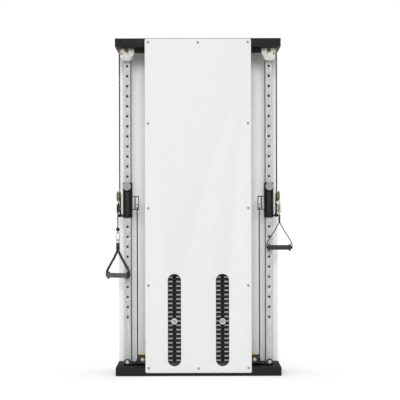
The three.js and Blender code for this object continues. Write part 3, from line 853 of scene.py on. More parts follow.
def makeRearScrews(v):
    pattern = buttonScrew("rearScrews", *v["screw"])
    screws = []
    for z in v["rows"]:
        for x in v["x"] if z in (v["rows"][0], v["rows"][-1]) else v["x"][-1:]:
            for sign in (1, -1):
                screws.append(place(copyOf(pattern, "screw"), (sign * x, v["face"], z), (-90, 0, 0)))
    bpy.data.objects.remove(pattern)
    heads = gather("rearScrews", screws)
    finishOne(heads, "knobGrey", "frame", "steel")


makeRearScrews(rear)
print("frame, panel and rear sheet made")


# columns and their brackets

column = {"x": 0.458, "half": 0.0225, "front": -0.037, "back": 0.063, "low": 0.0543, "high": 2.0977,
    "wall": 0.003, "corner": 0.005, "hole": 0.008, "first": 0.363, "pitch": 0.065, "count": 26,
    "numeral": 0.0075, "numeralDrop": 0.0265, "stripDepth": (-0.031, 0.057), "stripProud": 0.0004}


def makeColumn(v):
    x = (v["x"] - v["half"], v["x"] + v["half"])
    tube = block("column", x, (v["front"], v["back"]), (v["low"], v["high"]))
    openEdit(tube, "EDGE")
    takeEdges(tube, lambda middle, way: abs(way.z) > 0.9)
    bpy.ops.mesh.bevel(offset=v["corner"], segments=5, affect="EDGES")
    closeEdit()
    wall = v["wall"]
    hollow = block("hollow", (x[0] + wall, x[1] - wall), (v["front"] + wall, v["back"] - wall),
                   (v["low"] - 0.01, v["high"] + 0.01))
    drill = bar("drill", "y", v["hole"], v["front"] - 0.01, v["front"] + 0.012, (v["x"], v["first"]), 24)
    rowsOf(drill, v["count"], (0, 0, v["pitch"]))
    cutAway(tube, hollow, drill)
    soften(tube, 0.0005, 2, 50)
    finishPair(tube, "zincColumn", "frame", "zinc", "column")
    # painted shade: a thin dark strip along the column's inner side stands for that side face in shadow
    proud = v["stripProud"]
    strip = block("columnShadeStrip", (x[0] - proud, x[0] + 0.001), v["stripDepth"], (v["low"], v["high"]))
    soften(strip, 0.0003)
    finishPair(strip, "darkRubber", "frame", "stop_rubber")
    for side, sign in (("Right", 1), ("Left", -1)):
        marks = []
        for i in range(v["count"]):
            z = v["first"] + i * v["pitch"] - v["numeralDrop"]
            marks.append(numeral(str(i + 1), v["numeral"], sign * v["x"], v["front"] - 0.00005, z))
        row = gather(f"columnNumbers{side}", marks)
        finishOne(row, "columnInk", "frame", "zinc")


makeColumn(column)

topBracket = {"x": 0.458, "half": 0.048, "outer": 0.039, "footHalf": 0.024, "top": 2.095,
    "shoulder": 2.064, "foot": 2.018, "front": -0.096, "rear": -0.068, "thick": 0.004, "axle": 2.081}


def makeTopBracket(v):
    x, axle = v["x"], v["axle"]
    outline = [(x - v["half"], v["top"]), (x - v["half"], v["shoulder"]),
               (x - v["footHalf"], v["foot"]), (x + v["footHalf"], v["foot"]),
               (x + v["outer"], v["foot"] + 0.016), (x + v["outer"], v["top"])]
    cheeks = []
    for y in (v["front"], v["rear"]):
        cheek = cutPlate("cheek", outline, (y, y + v["thick"]))
        relief = bar("relief", "y", 0.006, y - 0.01, y + 0.02, (x + 0.031, axle - 0.019), 16)
        slit = block("slit", (x - 0.012, x - 0.007), (y - 0.01, y + 0.02), (axle - 0.025, axle - 0.012))
        cutAway(cheek, relief, slit)
        cheeks.append(soften(cheek, 0.0008, 2, 40))
    floor = block("floor", (x - 0.01, x + 0.01), (v["front"] + v["thick"], v["rear"]),
                  (v["foot"], v["foot"] + 0.008))
    lug = block("lug", (x - 0.018, x + 0.018), (v["rear"] + v["thick"], -0.0373), (v["foot"] + 0.004, 2.072))
    cheeks += [soften(floor, 0.0008), soften(lug, 0.0015)]
    body = gather("topBracket", cheeks)
    finishPair(body, "zincBracket", "frame", "zinc", "top_pulley_bracket")
    # the top bolt's darker gold colour is painted shade, standing for the shaded rim of the gold pulley
    # behind it
    bolt = place(domedBolt("topBolt", 0.0105, 0.006, 0.0025), (x, v["front"] - 0.0016, v["axle"]), (90, 0, 0))
    finishPair(bolt, "shadedGold", "frame", "steel")
    pin = bar("topAxle", "y", 0.006, v["front"] + 0.001, v["rear"] + 0.001, (x, v["axle"]), 24)
    soften(pin, 0.0005)
    finishPair(pin, "brightSteel", "frame", "steel")


makeTopBracket(topBracket)

baseBracket = {"low": 0.0543, "high": 0.066, "from": 0.262, "to": 0.482, "frontY": (-0.069, -0.065),
    "rearY": (-0.045, -0.041), "pulleyX": 0.358, "pulleyZ": 0.096, "wing": 0.052, "wingTop": 0.034,
    "columnX": 0.458, "lobe": 0.021, "lobeZ": 0.076, "bolt": (0.0108, 0.009)}


def makeBaseBracket(v):
    px, pz = v["pulleyX"], v["pulleyZ"]
    parts = []
    for y, end in ((v["frontY"], v["to"]), (v["rearY"], 0.430)):
        parts.append(soften(block("rail", (v["from"], end), y, (v["low"], v["high"])), 0.0008))
        outline = [(px - v["wing"], v["low"]), (px + v["wing"], v["low"]),
                   (px + v["wingTop"], pz + 0.027), (px - v["wingTop"], pz + 0.027)]
        parts.append(soften(cutPlate("wing", outline, y), 0.0009, 2, 40))
    across = (v["frontY"][0], v["rearY"][1])
    parts.append(soften(block("end", (v["from"], v["from"] + 0.006), across, (v["low"], v["high"])), 0.0008))
    parts.append(soften(block("foot", (0.412, 0.430), across, (v["low"], v["high"])), 0.0008))
    arch = [(v["columnX"] - v["lobe"], v["low"]), (v["columnX"] + v["lobe"], v["low"])]
    arch += [(x, z) for x, _, z in arc(v["columnX"], v["lobeZ"], 0, v["lobe"], 0, 180, 16)]
    parts.append(soften(cutPlate("arch", arch, v["frontY"]), 0.0008, 2, 40))
    body = gather("baseBracket", parts)
    finishPair(body, "carriageBlack", "frame", "carriage_black", "base_pulley_bracket")
    bolts = []
    for x, z in ((v["columnX"] + 0.001, 0.0745), (px + 0.003, pz - 0.006)):
        bolt = domedBolt("bolt", *v["bolt"], 0.0012)
        bolts.append(place(bolt, (x, v["frontY"][0] - 0.0015, z), (90, 0, 0)))
    heads = gather("baseBolts", bolts)
    finishPair(heads, "creamZinc", "frame", "steel")


makeBaseBracket(baseBracket)
print("columns and brackets made")


# pulleys

wheelShape = {"half": 0.008, "lip": 0.005, "floor": 0.0044, "hub": 0.007, "bore": 0.0062}
wheelPlaces = {
    "topOuterPulley": ("top_outer_pulley", 0.458, -0.080, 2.081, 0.047),
    "topFeedPulley": ("top_feed_pulley", 0.236, -0.080, 2.090, 0.038),
    "topReturnPulley": ("top_return_pulley", 0.148, -0.055, 2.090, 0.038),
    "topTurnPulley": ("top_turn_pulley", 0.284, -0.055, 2.090, 0.038),
    "basePulley": ("base_pulley", 0.358, -0.055, 0.096, 0.036),
    "stackPulley": ("stack_pulley", 0.154, -0.080, 0.724, 0.044),
}


def makeWheel(name, radius, v):
    rim, floor, half, bore = radius + v["lip"], radius - v["floor"], v["half"], v["bore"]
    hub = bore + v["hub"]
    face = [(bore, -half), (hub, -half), (hub + 0.001, -half * 0.55), (radius - 0.013, -half * 0.45),
            (radius - 0.010, -half * 0.9), (rim - 0.0012, -half), (rim, -half + 0.0008),
            (radius, -half * 0.5), (floor + 0.0006, -0.0026), (floor, -0.0012)]
    profile = face + [(r, -z) for r, z in reversed(face)] + [face[0]]
    wheel = turned(name, profile, 44)
    wear(wheel, "goldAnodised")
    paintFaces(wheel, "brightSteel", lambda c, n: math.hypot(c.x, c.y) < hub - 0.001)
    return wheel


for name, (node, x, y, z, radius) in wheelPlaces.items():
    handOverPair(place(makeWheel(name, radius, wheelShape), (x, y, z), (90, 0, 0)), node, "pulley_gold", node)
print("pulleys made")


# weight stacks

plateShape = {"x": 0.154, "y": -0.080, "width": 0.220, "depth": 0.100, "thick": 0.0268, "pitch": 0.028,
    "bottom": 0.080, "lower": 9, "upper": 11, "edge": 0.0022, "pinHole": 0.0058, "rodHole": 0.0112,
    "rodOffset": 0.085, "stemHole": 0.0125}
labelShape = {"from": 0.0125, "to": 0.0395, "height": 0.0088, "proud": 0.0005, "corner": 0.0015,
    "kilos": 5, "numeral": 0.0058}


def makePlates(v, label):
    x, y = v["x"], v["y"]
    halfWidth, halfDepth = v["width"] / 2, v["depth"] / 2
    one = block("plate", (x - halfWidth, x + halfWidth), (y - halfDepth, y + halfDepth),
                (v["bottom"] + 0.0003, v["bottom"] + 0.0003 + v["thick"]))
    top = v["bottom"] + v["pitch"]
    holes = ((0, v["stemHole"]), (v["rodOffset"], v["rodHole"]), (-v["rodOffset"], v["rodHole"]))
    drills = [bar("drill", "z", r, v["bottom"] - 0.01, top + 0.01, (x + dx, y), 24) for dx, r in holes]
    pinHole = bar("drill", "y", v["pinHole"], y - halfDepth - 0.01, y, (x, v["bottom"] + v["pitch"] / 2), 20)
    cutAway(one, *drills, pinHole)
    soften(one, v["edge"], 3, 40)
    wear(one, "plateBlack")
    lower = rowsOf(copyOf(one, "platesLower"), v["lower"], (0, 0, v["pitch"]))
    handOverPair(lower, "frame", "weight_plate", "lower_plates")
    upper = rowsOf(one, v["upper"], (0, 0, v["pitch"]))
    upper.name = "platesUpper"
    place(upper, (0, 0, v["lower"] * v["pitch"]))
    handOverPair(upper, "stack", "weight_plate", "lifted_plates")
    front = y - halfDepth
    middle = v["bottom"] + v["pitch"] / 2
    tags = [roundedSheet("tag", (x + min(a, b), x + max(a, b)),
                         (middle - label["height"] / 2, middle + label["height"] / 2),
                         (front, front - label["proud"]), label["corner"], 3)
            for a, b in ((label["from"], label["to"]), (-label["to"], -label["from"]))]
    face = front - label["proud"] - 0.00005
    pair = gather("plateLabels", tags)
    wear(pair, "labelGrey")
    for name, body, first, count in (("labelsLower", "frame", 0, v["lower"]),
                                     ("labelsUpper", "stack", v["lower"], v["upper"])):
        rows = place(rowsOf(copyOf(pair, name), count, (0, 0, v["pitch"])), (0, 0, first * v["pitch"]))
        handOverPair(rows, body, "weight_plate")
        for side, sign in (("right", 1), ("left", -1)):
            marks = []
            for i in range(first, first + count):
                kilos = (v["lower"] + v["upper"] - i) * label["kilos"]
                z = middle + i * v["pitch"]
                for dx in (label["from"], -label["to"]):
                    across = sign * x + dx + (label["to"] - label["from"]) / 2
                    marks.append(numeral(str(kilos), label["numeral"], across, face, z))
            figures = gather(f"{name}Numbers{side.capitalize()}", marks)
            finishOne(figures, "ink", bodyOn(body, side), "weight_plate")
    bpy.data.objects.remove(pair)


makePlates(plateShape, labelShape)

stackHead = {"half": 0.045, "depth": 0.026, "low": 0.6403, "high": 0.666, "stem": 0.011, "stemLow": 0.084,
    "pulley": 0.724, "cheek": 0.004}


def makeSelectorRod(v):
    x, y = plateShape["x"], plateShape["y"]
    head = block("head", (x - v["half"], x + v["half"]), (y - v["depth"], y + v["depth"]),
                 (v["low"], v["high"]))
    soften(head, 0.002, 3)
    stem = bar("stem", "z", v["stem"], v["stemLow"], v["low"] + 0.002, (x, y), 28)
    drill = bar("drill", "y", 0.0056, y - 0.02, y, (x, plateShape["bottom"] + plateShape["pitch"] / 2), 16)
    rowsOf(drill, plateShape["lower"] + plateShape["upper"], (0, 0, plateShape["pitch"]))
    cutAway(stem, drill)
    soften(stem, 0.0006, 2, 40)
    parts = [head, stem]
    for offset in (-0.014, 0.010):
        outline = [(x - 0.02, v["high"] - 0.001), (x + 0.02, v["high"] - 0.001),
                   (x + 0.016, v["pulley"] + 0.008)]
        outline += [(px, pz) for px, _, pz in arc(x, v["pulley"] + 0.004, 0, 0.014, 20, 160, 8)]
        outline.append((x - 0.016, v["pulley"] + 0.008))
        cheek = cutPlate("cheek", outline, (y + offset, y + offset + v["cheek"]))
        parts.append(soften(cheek, 0.0007, 2, 40))
    parts.append(soften(bar("axle", "y", 0.006, y - 0.018, y + 0.018, (x, v["pulley"]), 24), 0.0006))
    rod = gather("selectorRod", parts)
    wear(rod, "brightSteel")
    # the steel stem below the head is painted plate black: painted shade, so the pin holes read dark
    paintFaces(rod, "plateBlack", lambda c, n: c.z < v["low"] - 0.001)
    handOverPair(rod, "stack", "steel", "selector_rod")


makeSelectorRod(stackHead)

selectorKnob = {"radius": 0.020, "front": -0.182, "back": -0.158, "pin": 0.005, "tip": -0.084, "z": 0.346}


def makeSelectorPin(v):
    r, deep = v["radius"], v["back"] - v["front"]
    profile = [(0, deep * 0.78), (0.0035, deep * 0.78), (0.004, deep * 0.9), (0.0085, deep * 0.93),
               (0.009, deep * 0.78), (0.0122, deep * 0.78), (0.0127, deep * 0.96), (r * 0.8, deep),
               (r * 0.93, deep * 0.96), (r, deep * 0.85), (r, deep * 0.3), (r * 0.92, deep * 0.18),
               (r * 0.6, deep * 0.06), (r * 0.45, 0), (0, 0)]
    knob = turned("selectorKnob", profile, 48)
    flute(knob, r * 0.97, 24, 4, 0.94)
    place(knob, (plateShape["x"], v["back"], v["z"]), (90, 0, 0))
    wear(knob, "knobSilver")
    centre = plateShape["x"], v["z"]
    paintFaces(knob, "ink", lambda c, n: c.y < v["back"] - deep * 0.7 and c.y > v["front"] + deep * 0.14
               and math.hypot(c.x - centre[0], c.z - centre[1]) < 0.0128)
    handOverPair(knob, "selector_pin", "steel", "selector_pin")
    pin = bar("selectorShank", "y", v["pin"], v["back"] - 0.002, v["tip"], (plateShape["x"], v["z"]), 24)
    soften(pin, 0.0012, 2)
    finishPair(pin, "brightSteel", "selector_pin", "steel")


makeSelectorPin(selectorKnob)

guideRod = {"radius": 0.010, "low": 0.0543, "high": 2.0177, "collar": 0.0155}


def makeGuideRods(v):
    for node, end, sign in (("guide_rod_inner", "Inner", -1), ("guide_rod_outer", "Outer", 1)):
        x, y = plateShape["x"] + sign * plateShape["rodOffset"], plateShape["y"]
        rod = soften(bar("rod", "z", v["radius"], v["low"], v["high"], (x, y), 32), 0.001)
        wear(rod, "brightSteel")
        rod.name = f"guideRod{end}"
        handOverPair(rod, "frame", "steel", node)
        bore, edge = v["radius"] + 0.0003, v["collar"]
        collar = turned("collar", [(bore, 0), (edge, 0), (edge, 0.008), (edge - 0.001, 0.009),
                                   (bore, 0.009), (bore, 0)], 28)
        collar.name = f"rodCollar{end}"
        place(collar, (x, y, v["high"] - 0.012))
        finishPair(collar, "darkRubber", "frame", "steel")


makeGuideRods(guideRod)

bumper = {"half": 0.100, "depth": 0.020, "low": 0.0543, "high": 0.0797}


def makeBumper(v):
    x, y = plateShape["x"], plateShape["y"]
    piece = block("stackBumper", (x - v["half"], x + v["half"]), (y - v["depth"], y + v["depth"]),
                  (v["low"], v["high"]))
    openEdit(piece)
    takeFaces(piece, lambda c, n: n.z > 0.9)
    bpy.ops.mesh.inset(thickness=0.004)
    bpy.ops.mesh.extrude_region_move(TRANSFORM_OT_translate={"value": (0, 0, -0.002)})
    closeEdit()
    soften(piece, 0.002, 2)
    finishPair(piece, "bumperGrey", "frame", "stop_rubber", "stack_bumper")


makeBumper(bumper)
print("weight stacks made")


# carriages

carriage = {"x": 0.458, "half": 0.029, "front": -0.065, "back": 0.075, "low": 1.010, "high": 1.230,
    "nose": 0.024, "clear": 0.0008, "pinZ": 1.208, "swivelX": 0.505, "plane": -0.080,
    "lug": (1.013, 1.025)}


def makeCarriage(v):
    x = (v["x"] - v["half"], v["x"] + v["half"])
    body = block("carriage", x, (v["front"], v["back"]), (v["low"], v["high"]))
    openEdit(body, "EDGE")
    takeEdges(body, lambda middle, way: abs(way.z) > 0.9 and middle.y < 0)
    bpy.ops.mesh.bevel(offset=v["nose"], segments=12, affect="EDGES")
    takeEdges(body, lambda middle, way: abs(way.z) > 0.9 and middle.y > v["back"] - 0.001)
    bpy.ops.mesh.bevel(offset=0.006, segments=4, affect="EDGES")
    closeEdit()
    clear = v["clear"]
    inside = ((v["x"] - column["half"] - clear, v["x"] + column["half"] + clear),
              (column["front"] - clear, column["back"] + clear))
    bore = block("bore", *inside, (v["low"] - 0.01, v["high"] + 0.01))
    pinBore = bar("pinBore", "y", 0.0066, v["front"] - 0.01, column["front"], (v["x"], v["pinZ"]), 24)
    cutAway(body, bore, pinBore)
    soften(body, 0.0016, 3, 50)
    low, high = v["lug"]
    ear = turned("ear", [(0.0086, low), (0.0125, low), (0.014, low + 0.0015), (0.014, high - 0.0015),
                         (0.0125, high), (0.0086, high), (0.0086, low)], 28)
    place(ear, (v["swivelX"], v["plane"], 0))
    arm = block("arm", (x[1] - 0.001, v["swivelX"] + 0.008), (v["plane"] + 0.009, -0.025), (low, high))
    whole = gather("carriage", [body, ear, soften(arm, 0.001)])
    finishPair(whole, "carriageBlack", "carriage", "carriage_black", "carriage")
    liners = []
    for z in (v["low"] - 0.0035, v["high"] - 0.0005):
        ring = block("liner", (x[0] + 0.002, x[1] - 0.002), (v["front"] + 0.014, v["back"] - 0.002),
                     (z, z + 0.004))
        cutAway(ring, block("bore", *inside, (z - 0.01, z + 0.02)))
        liners.append(soften(ring, 0.0008, 2, 50))
    lining = gather("carriageLiners", liners)
    finishPair(lining, "darkRubber", "carriage", "carriage_black")
    # the collar stays low enough for the knob to close over it
    collar = turned("pinCollar", [(0.0068, 0), (0.012, 0), (0.012, 0.0012), (0.0112, 0.002),
                                  (0.0068, 0.002), (0.0068, 0)], 28)
    place(collar, (v["x"], v["front"], v["pinZ"]), (90, 0, 0))
    finishPair(collar, "brightSteel", "carriage", "steel")


makeCarriage(carriage)

pullKnob = {"radius": 0.0265, "front": -0.110, "back": -0.088, "pin": 0.0058, "tip": -0.0382}


def makePullPin(v):
    r, deep = v["radius"], v["back"] - v["front"]
    profile = [(0, deep * 0.86), (r * 0.28, deep * 0.86), (r * 0.34, deep * 0.96), (r * 0.5, deep * 0.97),
               (r * 0.54, deep * 0.9), (r * 0.66, deep * 0.9), (r * 0.7, deep * 0.98), (r * 0.86, deep),
               (r * 0.96, deep * 0.93), (r, deep * 0.82), (r, deep * 0.3), (r * 0.9, deep * 0.15),
               (r * 0.5, deep * 0.05), (r * 0.4, 0), (0, 0)]
    knob = turned("pullKnob", profile, 60)
    flute(knob, r * 0.95, 30, 3, 0.965)
    place(knob, (carriage["x"], v["back"], carriage["pinZ"]), (90, 0, 0))
    finishPair(knob, "knobGrey", "pull_pin", "knob_grey", "pull_pin")
    pin = bar("pullShank", "y", v["pin"], v["back"] - 0.002, v["tip"], (carriage["x"], carriage["pinZ"]), 24)
    soften(pin, 0.0012, 2)
    finishPair(pin, "brightSteel", "pull_pin", "steel")


makePullPin(pullKnob)

anchor = {"inner": 0.3835, "outer": 0.4287, "y": (-0.070, -0.040), "low": 1.057, "high": 1.147,
    "bar": 0.006, "x": 0.394, "middle": 0.408, "sleeve": (1.0965, 1.1405), "bead": 1.0825}


def makeAnchor(v):
    inner, outer, b = v["inner"], v["outer"], v["bar"]
    bars = [block("rung", (inner, outer), v["y"], (v["low"], v["low"] + b)),
            block("rung", (inner, outer), v["y"], (v["high"] - b, v["high"])),
            block("post", (inner, inner + 0.004), v["y"], (v["low"] + b, v["high"] - b)),
            block("post", (v["middle"] - 0.003, v["middle"] + 0.003), v["y"], (v["low"] + b, v["high"] - b))]
    body = gather("cableAnchor", [soften(one, 0.0007) for one in bars])
    finishPair(body, "carriageBlack", "carriage", "carriage_black", "cable_anchor")
    y = (v["y"][0] + v["y"][1]) / 2
    low, high = v["sleeve"]
    sleeve = turned("anchorSleeve", [(0, low), (0.0044, low), (0.0055, low + 0.002), (0.0055, low + 0.013),
                                     (0.0049, low + 0.015), (0.0055, low + 0.017), (0.0055, high - 0.014),
                                     (0.0049, high - 0.012), (0.0055, high - 0.010), (0.0055, high - 0.001),
                                     (0.0048, high), (0, high)], 24)
    place(sleeve, (v["x"], y, 0))
    beadShape = [(0, -0.0066)] + [(0.0066 * math.cos(math.radians(a)), 0.0066 * math.sin(math.radians(a)))
                                  for a in range(-75, 90, 15)] + [(0, 0.0066)]
    bead = place(turned("bead", beadShape, 24), (v["x"], y, v["bead"]))
    ends = gather("anchorSleeve", [sleeve, bead])
    finishPair(ends, "creamNylon", "carriage", "cable_black")


makeAnchor(anchor)
print("carriages made")


# swivels, built facing the front and then turned outwards

swivel = {"x": 0.505, "y": -0.080, "yaw": 10, "upper": 1.145, "lower": 1.066, "radius": 0.028,
    "near": -0.013, "far": -0.009, "bottom": 1.026, "pivot": 0.008, "pivotLength": 0.015, "cheek": 0.015,
    "spine": (0.016, 0.038)}


def turnOut(piece, v=swivel):
    return place(piece, (v["x"], v["y"], 0), (0, 0, v["yaw"]))


def makeFork(v):
    r, (back, front), foot = v["cheek"], v["spine"], v["bottom"] + 0.005
    # drawn across X, forward to the left, then turned to lie along the swivel's own depth
    outline = [(0.009, v["bottom"]), (0.009, foot), (-back, foot + 0.006), (-back, v["upper"])]
    for z, start, stop in ((v["upper"], 20, 230), (v["lower"], 130, 250)):
        outline += [(x, h) for x, _, h in arc(-v["radius"], z, 0, r, start, stop, 12)]
    outline += [(-front, foot + 0.006), (-front, v["bottom"])]
    cheek = cutPlate("cheek", outline, (v["near"], v["far"]))
    place(cheek, (0, 0, 0), (0, 0, 90))
    mirrorAcross(cheek)
    soften(cheek, 0.0009, 2, 40)
    parts = [cheek, soften(block("ear", (v["far"], 0.009), (-0.009, 0.009), (v["bottom"], foot)), 0.001)]
    low, high = v["bottom"] - v["pivotLength"], v["bottom"]
    pivot = [(0, low), (v["pivot"] - 0.001, low), (v["pivot"], low + 0.001), (v["pivot"], high), (0, high)]
    parts.append(turned("pivot", pivot, 28))
    body = turnOut(gather("swivelFork", parts))
    finishPair(body, "carriageBlack", "swivel", "carriage_black", "swivel_fork")
    heads = []
    for z in (v["upper"], v["lower"]):
        bolt = domedBolt("bolt", 0.0078, 0.005, 0.0016)
        heads.append(place(bolt, (v["near"] - 0.0014, -v["radius"], z), (0, -90, 0)))
        heads.append(soften(bar("axle", "x", 0.005, v["far"] - 0.001, 0.0095, (-v["radius"], z), 24), 0.0005))
        heads.append(place(domedBolt("nut", 0.0066, 0.003), (0.0092, -v["radius"], z), (0, 90, 0)))
    bolts = turnOut(gather("swivelBolts", heads))
    finishPair(bolts, "brightSteel", "swivel", "steel")


makeFork(swivel)
for name, node, z in (("swivelWheelUpper", "swivel_pulley_upper", swivel["upper"]),
                      ("swivelWheelLower", "swivel_pulley_lower", swivel["lower"])):
    wheel = makeWheel(name, swivel["radius"], {**wheelShape, "hub": 0.005})
    handOverPair(turnOut(place(wheel, (0, -swivel["radius"], z), (0, 90, 0))), node, "pulley_gold", node)
print("swivels made")


# cables

cable = {"radius": 0.0035, "planeA": -0.080, "planeB": -0.055, "start": 1.195, "held": (0.6, 1.1, 1.6)}


def stretchRun(name, x, y, low, high, side):
    steps = 14
    piece = wire(name, [(x, y, low + (high - low) * i / steps) for i in range(steps + 1)], cable["radius"])
    wear(piece, "cableBlack")
    if side == "left":
        mirrorAcross(piece)
    piece.name = f"{name}{side.capitalize()}"
    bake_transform(piece)


def aroundWheel(name, start, stop, steps):
    _, x, y, z, radius = wheelPlaces[name]
    return arc(x, z, y, radius, start, stop, steps)


def makeMainCables(v):
    front, rear = v["planeA"], v["planeB"]
    rise = aroundWheel("basePulley", 0, -180, 20)
    outer, feedTop = aroundWheel("topOuterPulley", 90, 0, 12), aroundWheel("topFeedPulley", 180, 90, 10)
    under = aroundWheel("stackPulley", 180, 360, 20)
    run = [*rise, *[(rise[-1][0], rear, z) for z in v["held"]],
           *aroundWheel("topTurnPulley", 0, 90, 10), *aroundWheel("topReturnPulley", 90, 180, 10)]
    for name, points, body, nodes in (("returnCable", run, "frame", ["main_cable"]),
                                      ("feedCable", feedTop + outer, "frame", []),
                                      ("stackLoop", under, "stack", [])):
        finishPair(wire(name, points, v["radius"]), "cableBlack", body, "cable_black", *nodes)
    hold = anchor["sleeve"][0] + 0.002
    for side in ("right", "left"):
        stretchRun("outerRun", outer[-1][0], front, v["start"], outer[-1][2], side)
        stretchRun("innerRun", rise[0][0], rear, rise[0][2], hold, side)
        stretchRun("stackRunInner", under[0][0], front, under[0][2], run[-1][2], side)
        stretchRun("stackRunOuter", under[-1][0], front, under[-1][2], feedTop[0][2], side)


makeMainCables(cable)
print("main cables made")


# handles, each in its own place

handleSides = {
    "left": {"wrap": 45.1, "overLower": True, "forward": 0.056, "stop": 0.933, "eyeForward": 0.0,
        "eyeDown": 0.018, "yaw": 16, "drop": 0.294, "ball": "darkRubber", "hook": "brightSteel",
        "grip": "gripGrey"},
    "right": {"wrap": 65, "overLower": False, "forward": 0.058, "stop": 1.101, "eyeForward": 0.018,
        "eyeDown": 0.006, "yaw": -10, "drop": 0.285, "ball": "creamNylon", "hook": "creamZinc",
        "grip": "gripDark"},
}
handle = {"ball": 0.0125, "eye": 0.009, "wire": 0.0025, "hook": 0.003, "clear": 0.008, "hookHalf": 0.010,
    "hookStraight": 0.034, "ring": 0.015, "grip": 0.0155, "bore": 0.0105, "half": 0.072, "flange": 0.024,
    "width": 0.028, "thick": 0.005, "legs": 0.158, "spread": 0.0805, "keeperX": 0.0046,
    "keeperHalf": 0.009, "keeperThick": 0.0018}


def pulleyBend(z, start, stop, steps=8):
    r = swivel["radius"]
    angles = [math.radians(start + (stop - start) * i / steps) for i in range(steps + 1)]
    return [(0, -r - r * math.cos(a), z + r * math.sin(a)) for a in angles]


def makeHandleCable(side, s):
    through = [(0, 0, cable["start"] + 0.002), (0, 0, cable["start"] - 0.025)]
    through += pulleyBend(swivel["upper"], 180, 180 + s["wrap"])
    if s["overLower"]:
        through += pulleyBend(swivel["lower"], s["wrap"], 0)
    bend = turnOut(wire("swivelCable", through, cable["radius"]))
    finishSide(bend, "cableBlack", side, "swivel", "cable_black", "handle_cable")
    start, end = Vector(through[-1]), Vector((0, -s["forward"], s["stop"]))
    steps = 12
    tail = wire("tailCable", [tuple(start.lerp(end, i / steps)) for i in range(steps + 1)], cable["radius"])
    turnOut(tail)
    wear(tail, "cableBlack")
    if side == "left":
        mirrorAcross(tail)
    tail.name = f"tailCable{side.capitalize()}"
    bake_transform(tail)


def stadiumPath(half, straight):
    points = []
    for z, start in ((straight / 2, 0), (-straight / 2, 180)):
        for i in range(13):
            a = math.radians(start + 15 * i)
            points.append((half * math.cos(a), 0, z + half * math.sin(a)))
    return points


def makeStop(side, s, v):
    r = v["ball"]
    curve = [(x, z) for x, _, z in arc(0, 0, 0, r, -60, 60, 10)]
    profile = [(0, -r), (0.003, -r * 0.97), *curve, (0.0048, r * 0.98), (0.0042, r), (0, r)]
    ball = turned("cableStop", profile, 36)
    place(ball, (0, -s["forward"], s["stop"]))
    turnOut(ball)
    finishSide(ball, s["ball"], side, "cable_end", "stop_rubber", "cable_stop")
    eye = wire("stopEye", stadiumPath(v["eye"], 0.0002), v["wire"], closed=True)
    place(eye, (0, -s["forward"] - s["eyeForward"], s["stop"] - s["eyeDown"]), (0, 0, 90))
    neck = turned("neck", [(0, 0), (0.0052, 0), (0.0046, 0.006), (0.0052, 0.009), (0, 0.009)], 20)
    place(neck, (0, -s["forward"] - s["eyeForward"] * 0.75, s["stop"] - s["eyeDown"] + 0.0075))
    ring = turnOut(gather("stopEye", [eye, neck]))
    finishSide(ring, "brightSteel", side, "cable_end", "steel")


def makeCarabiner(side, s, v):
    top = s["eyeDown"] + v["eye"] - v["clear"]
    middle = top + v["hookHalf"] + v["hookStraight"] / 2
    body = stadiumPath(v["hookHalf"], v["hookStraight"])
    # the gate side is left open between the nose and the hinge
    frameWire = wire("hookBody", body[3:23], v["hook"])
    gate = wire("hookGate", [(v["hookHalf"] * 0.98, 0, -0.012), (v["hookHalf"] * 0.99, 0, 0),
                             (v["hookHalf"] * 0.985, 0, 0.0135)], v["hook"] * 0.78)
    hinge = turned("hinge", [(0, -0.0036), (0.0030, -0.0036), (0.0036, -0.003), (0.0036, 0.003),
                             (0.0030, 0.0036), (0, 0.0036)], 20)
    place(hinge, (v["hookHalf"] * 0.9, 0, -0.0165), (90, 0, 0))
    tips = [wire("tip", body[:4], v["hook"]), wire("tip", body[22:], v["hook"])]
    hook = gather("carabiner", [frameWire, gate, hinge, *tips])
    place(hook, (0, -s["forward"] - s["eyeForward"], s["stop"] - middle))
    turnOut(hook)
    finishSide(hook, s["hook"], side, "hook", "steel", "carabiner")
    return top + 2 * v["hookHalf"] + v["hookStraight"] - v["clear"]


def hang(piece, s):
    place(piece, (0, -s["forward"] - s["eyeForward"], s["stop"]), (0, 0, s["yaw"]))
    return turnOut(piece)


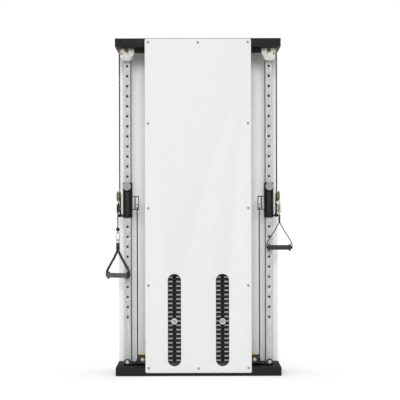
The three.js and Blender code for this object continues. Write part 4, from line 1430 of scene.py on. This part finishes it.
def makeStrap(side, s, v, ringTop):
    ringHeight = 2 * v["ring"] * 0.8
    loop = ringTop + ringHeight
    oval = [(x, y, z * 0.8) for x, y, z in stadiumPath(v["ring"], 0.0002)]
    ring = wire("strapRing", oval, v["wire"], closed=True)
    place(ring, (0, 0, -(ringTop + ringHeight / 2)), (0, 0, 90))
    hang(ring, s)
    finishSide(ring, "brightSteel", side, "strap", "steel")
    half, drop, spread = v["thick"] / 2 + 0.0002, s["drop"], v["spread"]
    neck = drop - v["legs"]
    # down from the ring, together in the neck, then apart to the end of the grip
    path = [(half, -(loop - 0.002)), (0.0042, -(loop + 0.004)), (0.003, -(loop + 0.012)),
            (half, -(loop + 0.022)), (half, -(neck - 0.006)), (0.0028, -neck), (0.0065, -(neck + 0.007)),
            (spread * 0.36, -(neck + 0.049)), (spread * 0.66, -(neck + 0.086)),
            (spread * 0.86, -(drop - 0.046)), (spread * 0.955, -(drop - 0.033)),
            (spread * 0.992, -(drop - 0.022)), (spread, -(drop - 0.010)), (spread, -(drop + 0.009))]
    bands = [flatStrap("leg", [(sign * x, z) for x, z in path], v["width"], v["thick"]) for sign in (1, -1)]
    wide, level = v["keeperX"], -(neck - 0.019)
    for sign in (-1, 1):
        ends = [(sign * wide, level + sign * step) for step in (v["keeperHalf"], -v["keeperHalf"])]
        bands.append(flatStrap("keeper", ends, v["width"] + 0.003, v["keeperThick"]))
    strap = hang(gather("handleStrap", bands), s)
    finishSide(strap, "webbingBlack", side, "strap", "webbing", "handle_strap")
    tip = [(0, 0.083), (0.0062, 0.083), (0.0075, 0.0822), (0.0095, 0.0795)]
    tube = turned("gripTube", [(x, -z) for x, z in tip] + tip[::-1], 28)
    place(tube, (0, 0, -drop), (0, 90, 0))
    hang(tube, s)
    finishSide(tube, "darkRubber", side, "strap", "grip_rubber")


def makeGrip(side, s, v):
    r, bore, half, flange = v["grip"], v["bore"], v["half"], v["flange"]
    left = [(bore, -half), (flange * 0.93, -half), (flange, -half + 0.0015), (flange, -half + 0.004),
            (flange * 0.93, -half + 0.0055), (r + 0.002, -half + 0.0125), (r, -half + 0.015)]
    ribs = []
    start, stop, count = -half + 0.018, half - 0.018, 16
    step = (stop - start) / count
    for i in range(count):
        z = start + i * step
        ribs += [(r - 0.0007, z), (r, z + step * 0.18), (r, z + step * 0.82), (r - 0.0007, z + step)]
    right = [(x, -z) for x, z in reversed(left)]
    grip = turned("handleGrip", left + ribs + right + [left[0]], 40)
    place(grip, (0, 0, -s["drop"]), (0, 90, 0))
    hang(grip, s)
    finishSide(grip, s["grip"], side, "grip", "grip_rubber", "handle_grip")


for side, s in handleSides.items():
    makeHandleCable(side, s)
    makeStop(side, s, handle)
    ringTop = makeCarabiner(side, s, handle)
    makeStrap(side, s, handle, ringTop)
    makeGrip(side, s, handle)
print("handles made")

print("all pieces made")
